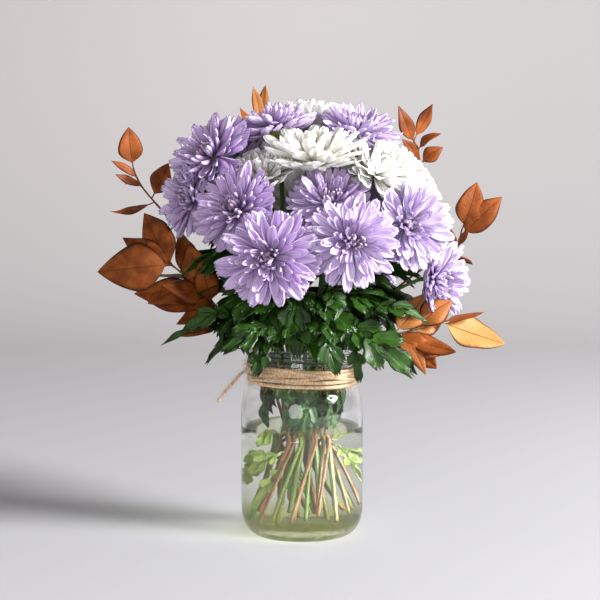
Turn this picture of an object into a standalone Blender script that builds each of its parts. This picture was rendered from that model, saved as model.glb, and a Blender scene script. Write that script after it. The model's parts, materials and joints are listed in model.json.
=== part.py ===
"""Chrysanthemums and copper leaves, hand-tied and standing in water in a clear glass jar.

The jar stands on the plane z = 0 with its axis on the Z axis; the front is towards -Y.
Metres, +Z up. Run with: blender --background --python part.py
"""

import math

import bmesh
import bpy
import numpy as np
from mathutils import Matrix, Vector

# ---------------------------------------------------------------- the jar, its water and twine
JAR_HEIGHT = 0.152
BASE_RADIUS = 0.036        # the flat that the jar stands on
BODY_RADIUS = 0.0493
NECK_RADIUS = 0.0409
RIM_RADIUS = 0.0419
BEAD_RADIUS = 0.0430
WALL = 0.0031
FLOOR_THICKNESS = 0.0060
HEEL_TOP = 0.022           # the heel's curve ends here and the straight side starts
SHOULDER_LOW = 0.100
SHOULDER_TOP = 0.1215
BEAD_LOW, BEAD_TOP = 0.1403, 0.1436
JAR_SIDES = 32

WATER_LEVEL = 0.088
FIT_GAP = 0.0003           # between solids that touch in the real thing

TWINE_RADIUS = 0.0012
TWINE_TURNS = 5
TWINE_SIDES = 28
TWINE_LOW = 0.1246
TWINE_INNER = 0.0420
TWINE_TILT = math.radians(3.0)
TWINE_TAIL = [(-0.0462, -0.0060, 0.1325), (-0.0500, -0.0105, 0.1300), (-0.0555, -0.0150, 0.1245),
              (-0.0615, -0.0185, 0.1175), (-0.0672, -0.0210, 0.1105)]

BLOOM_SIDES = 16
# A bloom's outline: distance forward from the calyx, and part of the petal radius.
BLOOM_OUTLINE = [(0.014, 0.93), (0.017, 1.0), (0.023, 0.85), (0.027, 0.50)]
BLOOM_TIP = 0.029
BLOOM_GAP = 0.0002         # each of two crowding blooms keeps this far from the plane between them

GREEN_THICKNESS = 0.0008
COPPER_THICKNESS = 0.0007
GREEN_STEPS = 8
STALK_HALF = 0.0007
COPPER_STEPS = 5
STEM_POINTS = 11           # along the curved part of each stem
TWIG_POINTS = 14
STEM_END = 0.003           # the last of a stem stands square to its calyx

COLOURS = {                # material: colour, roughness, and how much light passes through
    "glass": ((0.86, 0.90, 0.88, 0.30), 0.05, 0.95),
    "water": ((0.86, 0.90, 0.80, 0.30), 0.05, 0.95),
    "twine": ((0.47, 0.32, 0.16, 1.0), 0.85, 0.0),
    "lilac_petal": ((0.52, 0.40, 0.68, 1.0), 0.60, 0.0),
    "white_petal": ((0.87, 0.86, 0.80, 1.0), 0.60, 0.0),
    "stem": ((0.16, 0.15, 0.06, 1.0), 0.55, 0.0),
    "copper_leaf": ((0.32, 0.10, 0.03, 1.0), 0.60, 0.0),
    "green_leaf": ((0.03, 0.09, 0.02, 1.0), 0.50, 0.0),
}

# ---------------------------------------------------------------- the bouquet's plan
# A bloom: name, colour, centre of its petal disc, azimuth and elevation that it faces
# (degrees; -90 is the front), petal radius, and the ring of stems that its stem is in.
BLOOMS = [
    ("lilac_bloom_1", "lilac", (-0.025, -0.092, 0.230), -97, 5, 0.037, "outer"),
    ("lilac_bloom_2", "lilac", (0.038, -0.085, 0.241), -80, 0, 0.035, "outer"),
    ("lilac_bloom_3", "lilac", (-0.053, -0.062, 0.266), -120, 20, 0.034, "outer"),
    ("lilac_bloom_4", "lilac", (-0.074, -0.020, 0.308), -135, 35, 0.034, "outer"),
    ("lilac_bloom_5", "lilac", (-0.093, -0.022, 0.272), -155, 10, 0.031, "outer"),
    ("lilac_bloom_6", "lilac", (-0.023, 0.004, 0.333), 150, 75, 0.033, "inner"),
    ("lilac_bloom_7", "lilac", (0.045, 0.008, 0.329), -60, 65, 0.034, "inner"),
    ("lilac_bloom_8", "lilac", (0.021, -0.040, 0.273), -90, 45, 0.033, "inner"),
    ("lilac_bloom_9", "lilac", (0.089, -0.045, 0.252), -50, 10, 0.034, "outer"),
    ("lilac_bloom_10", "lilac", (0.115, -0.020, 0.206), -20, -5, 0.030, "outer"),
    ("lilac_bloom_11", "lilac", (-0.052, 0.032, 0.308), 140, 60, 0.033, "inner"),
    ("lilac_bloom_12", "lilac", (0.055, 0.062, 0.288), 45, 35, 0.035, "outer"),
    ("lilac_bloom_13", "lilac", (-0.062, 0.066, 0.270), 135, 25, 0.035, "outer"),
    ("lilac_bloom_14", "lilac", (0.060, 0.080, 0.222), 50, 0, 0.034, "outer"),
    ("white_bloom_1", "white", (0.009, -0.022, 0.311), -90, 80, 0.042, "inner"),
    ("white_bloom_2", "white", (0.060, -0.012, 0.296), -45, 50, 0.034, "inner"),
    ("white_bloom_3", "white", (0.092, 0.020, 0.277), -5, 30, 0.036, "outer"),
    ("white_bloom_4", "white", (-0.034, -0.023, 0.2915), -140, 60, 0.028, "inner"),
    ("white_bloom_5", "white", (0.005, 0.047, 0.328), 90, 65, 0.034, "inner"),
    ("white_bloom_6", "white", (-0.005, 0.088, 0.262), 92, 20, 0.036, "outer"),
]
BLOOM_DEPTH = 0.016        # from a bloom's petal disc back to the underside of its calyx
CALYX_RADIUS = 0.005
STEM_RADIUS = 0.0019
TWIG_RADIUS = 0.0013
STEM_GAP = 0.0003          # between a stem's end and its calyx
STALK_GAP = 0.0008         # from a stem's surface to the middle of a leaf stalk's end

# The stems stand as a hand-tied spiral: each ring lies on a hyperboloid whose waist is
# just above the water. Ring: radius at the waist, and sideways run per metre of height.
WAIST_Z = 0.094
RINGS = {"inner": (0.0070, 0.17), "outer": (0.0148, 0.36), "twig": (0.0206, 0.40)}
STRAIGHT_TOP = 0.138       # the stems are straight up to here, inside the jar's neck
FOOT_LOW = 0.0105
FOOT_STEP = 0.0019         # the feet differ by up to six of these steps
NECK_CLEAR = 0.0368        # what passes the mouth stays inside this radius
NECK_TOP = 0.156
STEM_SPACING = 0.0011      # clear distance kept between neighbouring stems

# A spray of copper leaves: name, azimuth of its twig in the mouth, the twig's points past
# the mouth, and its leaves as (base, tip, width, droop, azimuth and elevation it faces).
SPRAYS = [
    ("copper_spray_1", 166, [(-0.080, 0.004, 0.222), (-0.103, 0.002, 0.251), (-0.118, 0.001, 0.268),
                             (-0.1295, 0.0, 0.2825), (-0.1345, 0.0, 0.2950)], [
        ((-0.1345, 0.0, 0.2945), (-0.1376, -0.004, 0.3275), 0.0185, 0.003, -80, 15),
        ((-0.1312, 0.0, 0.2845), (-0.1512, -0.008, 0.3010), 0.0065, 0.003, -100, 35),
        ((-0.1302, 0.0, 0.2835), (-0.1420, 0.006, 0.2815), 0.0060, 0.002, -70, 60),
        ((-0.1200, 0.001, 0.2700), (-0.1080, 0.018, 0.2985), 0.0165, 0.002, -75, 5),
        ((-0.1180, 0.001, 0.2680), (-0.1520, -0.012, 0.2612), 0.0100, -0.003, -110, 55),
    ]),
    ("copper_spray_2", -166, [(-0.062, -0.006, 0.178), (-0.080, -0.008, 0.198), (-0.096, -0.010, 0.212),
                              (-0.104, -0.011, 0.219)], [
        ((-0.103, -0.0110, 0.2185), (-0.162, -0.017, 0.2135), 0.0370, 0.006, -95, 25),
        ((-0.1015, -0.0108, 0.2170), (-0.1275, 0.013, 0.2585), 0.0290, 0.001, -105, -5),
        ((-0.080, -0.0080, 0.1980), (-0.1216, -0.026, 0.1885), 0.0260, 0.004, -100, 40),
        ((-0.066, -0.0066, 0.1825), (-0.0990, -0.028, 0.1730), 0.0180, 0.004, -95, 45),
        ((-0.090, -0.0095, 0.2068), (-0.1400, 0.016, 0.2040), 0.0210, 0.003, 160, 60),
    ]),
    ("copper_spray_3", 34, [(0.072, 0.048, 0.225), (0.094, 0.061, 0.261), (0.0985, 0.0565, 0.295),
                            (0.0925, 0.0475, 0.317)], [
        ((0.0940, 0.0500, 0.3130), (0.0790, 0.040, 0.3450), 0.0120, 0.003, -80, 10),
        ((0.0925, 0.0475, 0.3170), (0.1075, 0.044, 0.3465), 0.0115, -0.003, -60, 10),
        ((0.0950, 0.0520, 0.3090), (0.1140, 0.042, 0.3225), 0.0105, 0.003, -70, 50),
        ((0.0985, 0.0565, 0.2970), (0.1170, 0.054, 0.3110), 0.0130, 0.003, -60, 40),
    ]),
    ("copper_spray_4", 4, [(0.076, 0.006, 0.198), (0.101, 0.009, 0.217), (0.1235, 0.009, 0.2285),
                           (0.1285, 0.008, 0.2450)], [
        ((0.1285, 0.0080, 0.2445), (0.1400, 0.002, 0.2835), 0.0215, 0.003, -85, 5),
        ((0.1270, 0.0083, 0.2400), (0.1600, 0.002, 0.2720), 0.0205, 0.004, -70, 25),
        ((0.1240, 0.0090, 0.2300), (0.1190, -0.004, 0.2465), 0.0060, 0.002, -100, 10),
        ((0.1130, 0.0090, 0.2235), (0.1400, 0.030, 0.2160), 0.0160, 0.003, 40, 60),
    ]),
    ("copper_spray_5", -36, [(0.046, -0.030, 0.1610), (0.060, -0.036, 0.1650), (0.074, -0.036, 0.1660),
                             (0.088, -0.036, 0.1695), (0.110, -0.035, 0.1765)], [
        ((0.1095, -0.0350, 0.1763), (0.1592, -0.036, 0.1580), 0.0300, -0.004, -85, 45),
        ((0.0770, -0.0356, 0.1670), (0.1192, -0.058, 0.1545), 0.0160, -0.003, -100, 40),
        ((0.0745, -0.0360, 0.1662), (0.1050, -0.046, 0.1400), 0.0210, -0.003, -100, 15),
        ((0.0720, -0.0360, 0.1659), (0.0980, -0.020, 0.1965), 0.0230, 0.003, -110, 10),
        ((0.1090, -0.0350, 0.1760), (0.1424, -0.034, 0.1835), 0.0080, -0.002, -80, 60),
    ]),
    ("copper_spray_6", 118, [(-0.022, 0.048, 0.215), (-0.028, 0.064, 0.262), (-0.031, 0.066, 0.300),
                             (-0.0345, 0.058, 0.3330)], [
        ((-0.0343, 0.0585, 0.3300), (-0.0400, 0.050, 0.3605), 0.0090, 0.002, -80, 0),
        ((-0.0345, 0.0580, 0.3330), (-0.0300, 0.054, 0.3625), 0.0085, -0.002, -95, 0),
        ((-0.0335, 0.0615, 0.3190), (-0.0520, 0.078, 0.3440), 0.0110, 0.003, 130, 20),
    ]),
]

# A lobed green leaf: name, base, tip, width, droop, azimuth and elevation it faces.
LEAVES = [
    ("green_leaf_1", (-0.050, -0.047, 0.1830), (-0.0905, -0.056, 0.1730), 0.022, 0.004, -95, 50),
    ("green_leaf_2", (-0.060, -0.028, 0.1700), (-0.1070, -0.040, 0.1620), 0.012, 0.004, -110, 60),
    ("green_leaf_3", (-0.022, -0.052, 0.1760), (-0.0580, -0.070, 0.1580), 0.026, 0.003, -95, 45),
    ("green_leaf_4", (-0.030, -0.046, 0.1640), (-0.0360, -0.054, 0.1370), 0.018, 0.003, -100, 10),
    ("green_leaf_5", (0.018, -0.052, 0.1730), (0.0270, -0.062, 0.1390), 0.021, 0.003, -85, 15),
    ("green_leaf_6", (0.040, -0.050, 0.1650), (0.0440, -0.058, 0.1330), 0.014, 0.003, -80, 5),
    ("green_leaf_7", (0.034, -0.046, 0.1750), (0.0830, -0.070, 0.1420), 0.036, 0.004, -85, 35),
    ("green_leaf_8", (0.052, -0.048, 0.1880), (0.0945, -0.058, 0.1800), 0.022, 0.004, -80, 60),
    ("green_leaf_9", (-0.030, 0.052, 0.1800), (-0.0640, 0.080, 0.1620), 0.028, 0.004, 115, 45),
    ("green_leaf_10", (0.028, 0.050, 0.1760), (0.0480, 0.088, 0.1520), 0.030, 0.004, 70, 40),
]


def toward(azimuth, elevation):
    """The unit vector at this azimuth and elevation, in degrees."""
    a, e = math.radians(azimuth), math.radians(elevation)
    return np.array([math.cos(a) * math.cos(e), math.sin(a) * math.cos(e), math.sin(e)])


def spiral_point(ring, mouth_azimuth, z):
    """A point at height z on the straight stem that leaves the mouth at this azimuth."""
    radius, run = RINGS[ring]
    lead = math.atan2((NECK_TOP - WAIST_Z) * run, radius)
    start = math.radians(mouth_azimuth) - lead
    out = np.array([math.cos(start), math.sin(start), 0.0])
    along = np.array([-math.sin(start), math.cos(start), 0.0])
    return radius * out + (z - WAIST_Z) * run * along + np.array([0.0, 0.0, z])


def hermite(start, start_pull, end, end_pull, count):
    """Points on the curve that leaves start along start_pull and reaches end along end_pull."""
    t = np.linspace(0.0, 1.0, count)[:, None]
    return ((2 * t**3 - 3 * t**2 + 1) * start + (t**3 - 2 * t**2 + t) * start_pull
            + (3 * t**2 - 2 * t**3) * end + (t**3 - t**2) * end_pull)


def smooth_through(points, count):
    """Evenly spaced points on a smooth curve through the given ones."""
    points = np.array(points, float)
    ends = [2 * points[0] - points[1]], [2 * points[-1] - points[-2]]
    padded = np.concatenate([ends[0], points, ends[1]])
    fine = [points[:1]]
    for i in range(1, len(padded) - 2):
        pull = (padded[i + 1] - padded[i - 1]) / 2, (padded[i + 2] - padded[i]) / 2
        fine.append(hermite(padded[i], pull[0], padded[i + 1], pull[1], 25)[1:])
    return evenly(np.concatenate(fine), count)


def evenly(points, count):
    """The same path as count points at equal distances."""
    steps = np.linalg.norm(np.diff(points, axis=0), axis=1)
    at = np.concatenate([[0.0], np.cumsum(steps)])
    wanted = np.linspace(0.0, at[-1], count)
    return np.stack([np.interp(wanted, at, points[:, k]) for k in range(3)], axis=1)


def mouth_slots():
    """The azimuth at which each bloom's stem leaves the mouth: even slots, in the blooms' order."""
    slots = {}
    for ring in ("inner", "outer"):
        members = [b for b in BLOOMS if b[6] == ring]
        azimuth = {b[0]: math.degrees(math.atan2(b[2][1], b[2][0])) for b in members}
        members.sort(key=lambda b: azimuth[b[0]])
        step = 360.0 / len(members)
        turn = np.mean([azimuth[b[0]] - i * step for i, b in enumerate(members)])
        for i, bloom in enumerate(members):
            slots[bloom[0]] = turn + i * step
    return slots


ROUTE_POINTS = 30          # past the straight part of a stem or twig
SETTLING_ROUNDS = 70
BLOOM_KEEP_OUT = 0.0175    # half the depth of the space round a bloom that other stems avoid


def first_routes():
    """Each stem's and twig's path past the straight part, before it gives way to the others."""
    slots, routes = mouth_slots(), {}
    for name, _, centre, azimuth, elevation, _, ring in BLOOMS:
        axis = toward(azimuth, elevation)
        end = np.array(centre) - (BLOOM_DEPTH + STEM_GAP) * axis
        low, high = (spiral_point(ring, slots[name], z) for z in (STRAIGHT_TOP - 0.01, STRAIGHT_TOP))
        length = np.linalg.norm(end - high)
        lift = (high - low) / np.linalg.norm(high - low)
        path = hermite(high, lift * length * 1.0, end, axis * length * 0.55, 60)
        routes[name] = evenly(path, ROUTE_POINTS)
    for name, azimuth, points, _ in SPRAYS:
        knots = [spiral_point("twig", azimuth, STRAIGHT_TOP - 0.012), spiral_point("twig", azimuth, STRAIGHT_TOP)]
        knots += [spiral_point("twig", azimuth, STRAIGHT_TOP + 0.014)] + [np.array(p) for p in points]
        path = smooth_through(knots, 90)
        path = path[path[:, 2] >= STRAIGHT_TOP]
        routes[name] = evenly(np.concatenate([[knots[1]], path]), ROUTE_POINTS)
    return routes


def settled_routes():
    """The paths after they have pushed each other, and the blooms, clear. The ends stay put."""
    routes = first_routes()
    names = list(routes)
    paths = np.stack([routes[name] for name in names])
    radius = np.array([TWIG_RADIUS if name.startswith("copper") else STEM_RADIUS for name in names])
    free = np.ones(paths.shape[:2])
    free[:, :2], free[:, -3:] = 0.0, 0.0
    for name, _, _, leaves in SPRAYS:
        twig = names.index(name)
        first_leaf = min(np.linalg.norm(paths[twig] - leaf[0], axis=1).argmin() for leaf in leaves)
        free[twig, first_leaf - 1:] = 0.0
    owner = np.repeat(np.arange(len(names)), ROUTE_POINTS)
    need = radius[owner][:, None] + radius[owner][None] + STEM_SPACING
    need[owner[:, None] == owner[None]] = 0.0
    for _ in range(SETTLING_ROUNDS):
        middle = (paths[:, :-2] + paths[:, 2:]) / 2
        paths[:, 1:-1] += 0.10 * free[:, 1:-1, None] * (middle - paths[:, 1:-1])
        flat = paths.reshape(-1, 3)
        square = (flat**2).sum(axis=1)
        apart = np.sqrt(np.maximum(square[:, None] + square[None] - 2 * flat @ flat.T, 1e-12))
        push = np.maximum(need - apart, 0.0) / apart
        move = 0.35 * (push.sum(axis=1)[:, None] * flat - push @ flat)
        for name, _, centre, azimuth, elevation, petals, _ in BLOOMS:
            axis = toward(azimuth, elevation)
            offset = flat - (np.array(centre) - 0.003 * axis)
            along = offset @ axis
            wide = np.linalg.norm(offset - along[:, None] * axis, axis=1)
            inside = np.hypot(along / BLOOM_KEEP_OUT, wide / (petals + 0.002))
            sunk = np.where(owner == names.index(name), 0.0, np.maximum(1.0 - inside, 0.0))
            rim = np.clip(wide / petals, 0.0, 1.0)[:, None] ** 2
            outward = (offset - along[:, None] * axis) / np.maximum(wide, 1e-6)[:, None]
            move += 0.3 * BLOOM_KEEP_OUT * sunk[:, None] * (rim * outward - (1.0 - rim) * axis)
        paths = (flat + move * free.reshape(-1, 1)).reshape(paths.shape)
        off_axis = np.linalg.norm(paths[:, :, :2], axis=2)
        most = np.where(paths[:, :, 2] < NECK_TOP, NECK_CLEAR - radius[:, None], 1.0)
        paths[:, :, :2] *= np.minimum(1.0, most / np.maximum(off_axis, 1e-6))[:, :, None]
    return dict(zip(names, paths))


def whole_stems(routes):
    """Every bloom's stem from its foot to its calyx, as closely spaced points."""
    slots, stems = mouth_slots(), {}
    for index, bloom in enumerate(BLOOMS):
        foot = spiral_point(bloom[6], slots[bloom[0]], foot_height(index))
        straight = foot + (routes[bloom[0]][0] - foot) * np.linspace(0.0, 1.0, 60)[:-1, None]
        stems[bloom[0]] = np.concatenate([straight, evenly(routes[bloom[0]], 160)])
    return stems


def stalk_start(base, stems):
    """Where a green leaf's stalk leaves the nearest stem on its way to the blade's base."""
    every = np.concatenate(list(stems.values()))
    nearest = every[np.linalg.norm(every - base, axis=1).argmin()]
    away = (np.array(base) - nearest) / np.linalg.norm(np.array(base) - nearest)
    return nearest + away * (STEM_RADIUS + STALK_GAP)


def foot_height(index):
    """The height of a stem's cut end above the table."""
    return FOOT_LOW + FOOT_STEP * ((index * 5) % 7)
# ---------------------------------------------------------------- end of the plan


def clear_scene():
    for obj in list(bpy.data.objects):
        bpy.data.objects.remove(obj, do_unlink=True)


def new_collection(name, helper=False):
    collection = bpy.data.collections.new(name)
    bpy.context.scene.collection.children.link(collection)
    collection.hide_render = helper
    return collection


def material(name):
    """The Principled material of this name, made the first time it is asked for."""
    if name in bpy.data.materials:
        return bpy.data.materials[name]
    colour, roughness, transmission = COLOURS[name]
    made = bpy.data.materials.new(name)
    made.use_nodes = True
    shader = made.node_tree.nodes["Principled BSDF"]
    shader.inputs["Base Color"].default_value = colour
    shader.inputs["Alpha"].default_value = colour[3]
    shader.inputs["Roughness"].default_value = roughness
    shader.inputs["Transmission Weight"].default_value = transmission
    return made


def add_mesh(name, mesh, collection, slot=None):
    obj = bpy.data.objects.new(name, mesh)
    collection.objects.link(obj)
    if slot:
        mesh.materials.append(material(slot))
    if collection is helpers:
        obj.hide_render = True
        obj.display_type = "WIRE"
    return obj


def mesh_from(name, vertices, edges=(), faces=()):
    mesh = bpy.data.meshes.new(name)
    mesh.from_pydata([tuple(v) for v in vertices], list(edges), list(faces))
    return mesh


def turned(name, profile, sides, collection, slot=None):
    """A profile of (radius, height) points, running down its outer side, turned about Z."""
    points = [(radius, 0.0, height) for radius, height in profile]
    mesh = mesh_from(name, points, [(i, i + 1) for i in range(len(points) - 1)])
    obj = add_mesh(name, mesh, collection, slot)
    turn = obj.modifiers.new("Turn", "SCREW")
    turn.steps = turn.render_steps = sides
    turn.use_merge_vertices = True
    turn.merge_threshold = 0.00005
    turn.use_smooth_shade = True
    return obj


def baked(obj):
    """Replaces an object by a plain mesh of what its modifiers, or its curve, make."""
    evaluated = obj.evaluated_get(bpy.context.evaluated_depsgraph_get())
    mesh = bpy.data.meshes.new_from_object(evaluated)
    name, matrix, collection = obj.name, obj.matrix_world.copy(), obj.users_collection[0]
    bpy.data.objects.remove(obj, do_unlink=True)
    form = bmesh.new()
    form.from_mesh(mesh)
    bmesh.ops.remove_doubles(form, verts=form.verts, dist=0.00002)
    form.to_mesh(mesh)
    form.free()
    mesh.name = name
    plain = add_mesh(name, mesh, collection)
    plain.matrix_world = matrix
    return plain


def tube(name, points, radius, collection, slot=None, resolution=1):
    """A round bar along the points, as a poly curve with filled caps."""
    curve = bpy.data.curves.new(name, "CURVE")
    curve.dimensions = "3D"
    curve.bevel_depth = radius
    curve.bevel_resolution = resolution
    curve.use_fill_caps = True
    spline = curve.splines.new("POLY")
    spline.points.add(len(points) - 1)
    for knot, point in zip(spline.points, points):
        knot.co = (*point, 1.0)
    if slot:
        curve.materials.append(material(slot))
    obj = bpy.data.objects.new(name, curve)
    collection.objects.link(obj)
    return obj


def arc(centre_r, centre_z, wide, high, start, stop, steps):
    """Points (radius, height) along part of an ellipse, with the angles in degrees."""
    turn = [math.radians(start + (stop - start) * i / steps) for i in range(steps + 1)]
    return [(centre_r + wide * math.cos(a), centre_z + high * math.sin(a)) for a in turn]


def jar_profile():
    """Up the inside, over the rim and down the outside to the flat underside."""
    inner_body = BODY_RADIUS - WALL
    inner_neck = NECK_RADIUS - WALL
    heel = BODY_RADIUS - BASE_RADIUS
    inside = [(0.0, FLOOR_THICKNESS), (BASE_RADIUS - 0.004, FLOOR_THICKNESS)]
    inside += arc(BASE_RADIUS - 0.002, HEEL_TOP, inner_body - BASE_RADIUS + 0.002,
                  HEEL_TOP - FLOOR_THICKNESS - 0.0005, -75, 0, 4)
    inside += arc(inner_neck, SHOULDER_LOW, inner_body - inner_neck,
                  SHOULDER_TOP - SHOULDER_LOW - 0.0005, 0, 80, 5)
    inside += [(inner_neck, SHOULDER_TOP + 0.0010), (inner_neck, JAR_HEIGHT - 0.0015)]
    rim = [(inner_neck + 0.0009, JAR_HEIGHT), (RIM_RADIUS - 0.0010, JAR_HEIGHT),
           (RIM_RADIUS, JAR_HEIGHT - 0.0012)]
    bead = [(RIM_RADIUS, BEAD_TOP + 0.0008), (BEAD_RADIUS, BEAD_TOP), (BEAD_RADIUS, BEAD_LOW + 0.0008),
            (NECK_RADIUS, BEAD_LOW)]
    outside = [(NECK_RADIUS, SHOULDER_TOP)]
    outside += arc(NECK_RADIUS, SHOULDER_LOW, BODY_RADIUS - NECK_RADIUS,
                   SHOULDER_TOP - SHOULDER_LOW, 75, 0, 5)
    outside += arc(BASE_RADIUS, HEEL_TOP, heel, HEEL_TOP, 0, -90, 5)
    return inside + rim + bead + outside + [(0.0, 0.0)]


def make_jar():
    turned("glass_jar", jar_profile(), JAR_SIDES, parts, "glass")


def straight_part(index, name, ring, mouth_azimuth):
    """A stem's foot and the top of its straight part."""
    foot = spiral_point(ring, mouth_azimuth, foot_height(index))
    return foot, routes[name][0]


def make_water(stems):
    """The water fills the jar up to its level, with a sleeve round each stem."""
    inner = BODY_RADIUS - WALL - FIT_GAP - 0.0002
    low = FLOOR_THICKNESS + FIT_GAP
    profile = [(0.0, WATER_LEVEL), (inner, WATER_LEVEL), (inner, HEEL_TOP)]
    profile += arc(BASE_RADIUS - 0.002, HEEL_TOP, inner - BASE_RADIUS + 0.002,
                   HEEL_TOP - low - 0.0006, -15, -75, 4)
    profile += [(BASE_RADIUS - 0.0042, low), (0.0, low)]
    water = baked(turned("jar_water", profile, JAR_SIDES, parts))
    water.data.materials.append(material("water"))
    sleeves = bmesh.new()
    for foot, top, radius in stems:
        foot, top = Vector(foot), Vector(top)
        along = (top - foot).normalized()
        low_end, high_end = foot - along * 0.0008, foot + along * ((WATER_LEVEL + 0.004 - foot.z) / along.z)
        turn = along.to_track_quat("Z", "Y").to_matrix().to_4x4()
        size = (radius + FIT_GAP) / math.cos(math.pi / 8)
        bmesh.ops.create_cone(sleeves, cap_ends=True, segments=8, radius1=size, radius2=size,
                              depth=(high_end - low_end).length,
                              matrix=Matrix.Translation((low_end + high_end) / 2) @ turn)
    cutter_mesh = bpy.data.meshes.new("water_sleeves")
    sleeves.to_mesh(cutter_mesh)
    sleeves.free()
    cut = water.modifiers.new("Sleeves", "BOOLEAN")
    cut.operation = "DIFFERENCE"
    cut.object = add_mesh("water_sleeves", cutter_mesh, helpers)


def make_twine():
    """The wound turns as one ring with a rounded edge for each turn, and the free tail."""
    top = TWINE_LOW + 2 * TWINE_RADIUS * TWINE_TURNS
    profile = [(TWINE_INNER, TWINE_LOW + 0.0004), (TWINE_INNER, top - 0.0004)]
    for turn in range(TWINE_TURNS):
        centre = top - TWINE_RADIUS * (2 * turn + 1)
        profile += arc(TWINE_INNER + TWINE_RADIUS, centre, TWINE_RADIUS, TWINE_RADIUS, 60, -60, 2)
    profile.append(profile[0])
    wrap = turned("twine_wrap", [(r, z - (TWINE_LOW + top) / 2) for r, z in profile],
                  TWINE_SIDES, parts, "twine")
    wrap.location.z = (TWINE_LOW + top) / 2
    wrap.rotation_euler.y = TWINE_TILT
    tail = smooth_through(TWINE_TAIL, 12)
    tube("twine_tail", tail, TWINE_RADIUS - 0.0001, parts, "twine", 2)


def bloom_frame(bloom):
    """The calyx point and the facing axis of a bloom, as vectors."""
    _, _, centre, azimuth, elevation, _, _ = bloom
    axis = Vector(toward(azimuth, elevation))
    return Vector(centre) - axis * BLOOM_DEPTH, axis


def bloom_form(bloom):
    """The bloom's outer shape: its outline turned about its axis, as a bmesh."""
    calyx, axis = bloom_frame(bloom)
    outline = [(0.0, CALYX_RADIUS)] + [(s, part * bloom[5]) for s, part in BLOOM_OUTLINE]
    form = bmesh.new()
    corners = [form.verts.new((0.0, 0.0, 0.0))]
    corners += [form.verts.new((radius, 0.0, s)) for s, radius in outline]
    corners.append(form.verts.new((0.0, 0.0, BLOOM_TIP)))
    edges = [form.edges.new(pair) for pair in zip(corners, corners[1:])]
    bmesh.ops.spin(form, geom=corners + edges, cent=(0, 0, 0), axis=(0, 0, 1),
                   angle=math.tau, steps=BLOOM_SIDES, use_merge=True)
    bmesh.ops.remove_doubles(form, verts=form.verts, dist=0.00005)
    bmesh.ops.recalc_face_normals(form, faces=form.faces)
    place = Matrix.Translation(calyx) @ axis.to_track_quat("Z", "Y").to_matrix().to_4x4()
    bmesh.ops.transform(form, matrix=place, verts=form.verts)
    return form


def holds(bloom, point):
    """Whether a point is inside a bloom's full outline."""
    calyx, axis = bloom_frame(bloom)
    forward = (point - calyx).dot(axis)
    outline = [(0.0, CALYX_RADIUS)] + [(s, part * bloom[5]) for s, part in BLOOM_OUTLINE]
    outline.append((BLOOM_TIP, 0.0))
    reach = np.interp(forward, [s for s, _ in outline], [r for _, r in outline], -1.0, -1.0)
    return (point - calyx - axis * forward).length < reach


def make_blooms():
    """Each bloom, cut back to a plane where another one crowds it."""
    forms = [bloom_form(bloom) for bloom in BLOOMS]
    corners = [[v.co.copy() for v in form.verts] for form in forms]
    centres = [Vector(bloom[2]) for bloom in BLOOMS]
    for i, first in enumerate(BLOOMS):
        for j, second in enumerate(BLOOMS[:i]):
            crowded = any(holds(second, p) for p in corners[i]) or any(holds(first, p) for p in corners[j])
            if not crowded:
                continue
            between = (centres[j] - centres[i]).normalized()
            reach_i = max((p - centres[i]).dot(between) for p in corners[i])
            reach_j = max((p - centres[j]).dot(-between) for p in corners[j])
            distance = (centres[j] - centres[i]).length
            middle = centres[i] + between * distance * reach_i / (reach_i + reach_j)
            cut_back(forms[i], middle - between * BLOOM_GAP, between)
            cut_back(forms[j], middle + between * BLOOM_GAP, -between)
    for form, bloom in zip(forms, BLOOMS):
        mesh = bpy.data.meshes.new(bloom[0])
        bmesh.ops.recalc_face_normals(form, faces=form.faces)
        form.to_mesh(mesh)
        form.free()
        mesh.shade_smooth()
        mesh.set_sharp_from_angle(angle=math.radians(35))
        add_mesh(bloom[0], mesh, parts, bloom[1] + "_petal")


def cut_back(form, point, outward):
    """Removes what lies past a plane, and closes the cut."""
    geometry = form.verts[:] + form.edges[:] + form.faces[:]
    cut = bmesh.ops.bisect_plane(form, geom=geometry, dist=0.00001, plane_co=point,
                                 plane_no=outward, clear_outer=True)
    rim = [e for e in cut["geom_cut"] if isinstance(e, bmesh.types.BMEdge)]
    if rim:
        bmesh.ops.contextual_create(form, geom=rim)


def make_stems():
    """A stem under each bloom. Returns the straight parts, for the water's sleeves."""
    slots = mouth_slots()
    straights = []
    for index, bloom in enumerate(BLOOMS):
        foot, top = straight_part(index, bloom[0], bloom[6], slots[bloom[0]])
        route = evenly(routes[bloom[0]], STEM_POINTS)
        square_end = route[-1] - STEM_END * toward(bloom[3], bloom[4])
        path = np.concatenate([[foot], route[:-1], [square_end], route[-1:]])
        tube(bloom[0].replace("bloom", "stem"), path, STEM_RADIUS, parts, "stem")
        straights.append((foot, top, STEM_RADIUS))
    return straights


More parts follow.
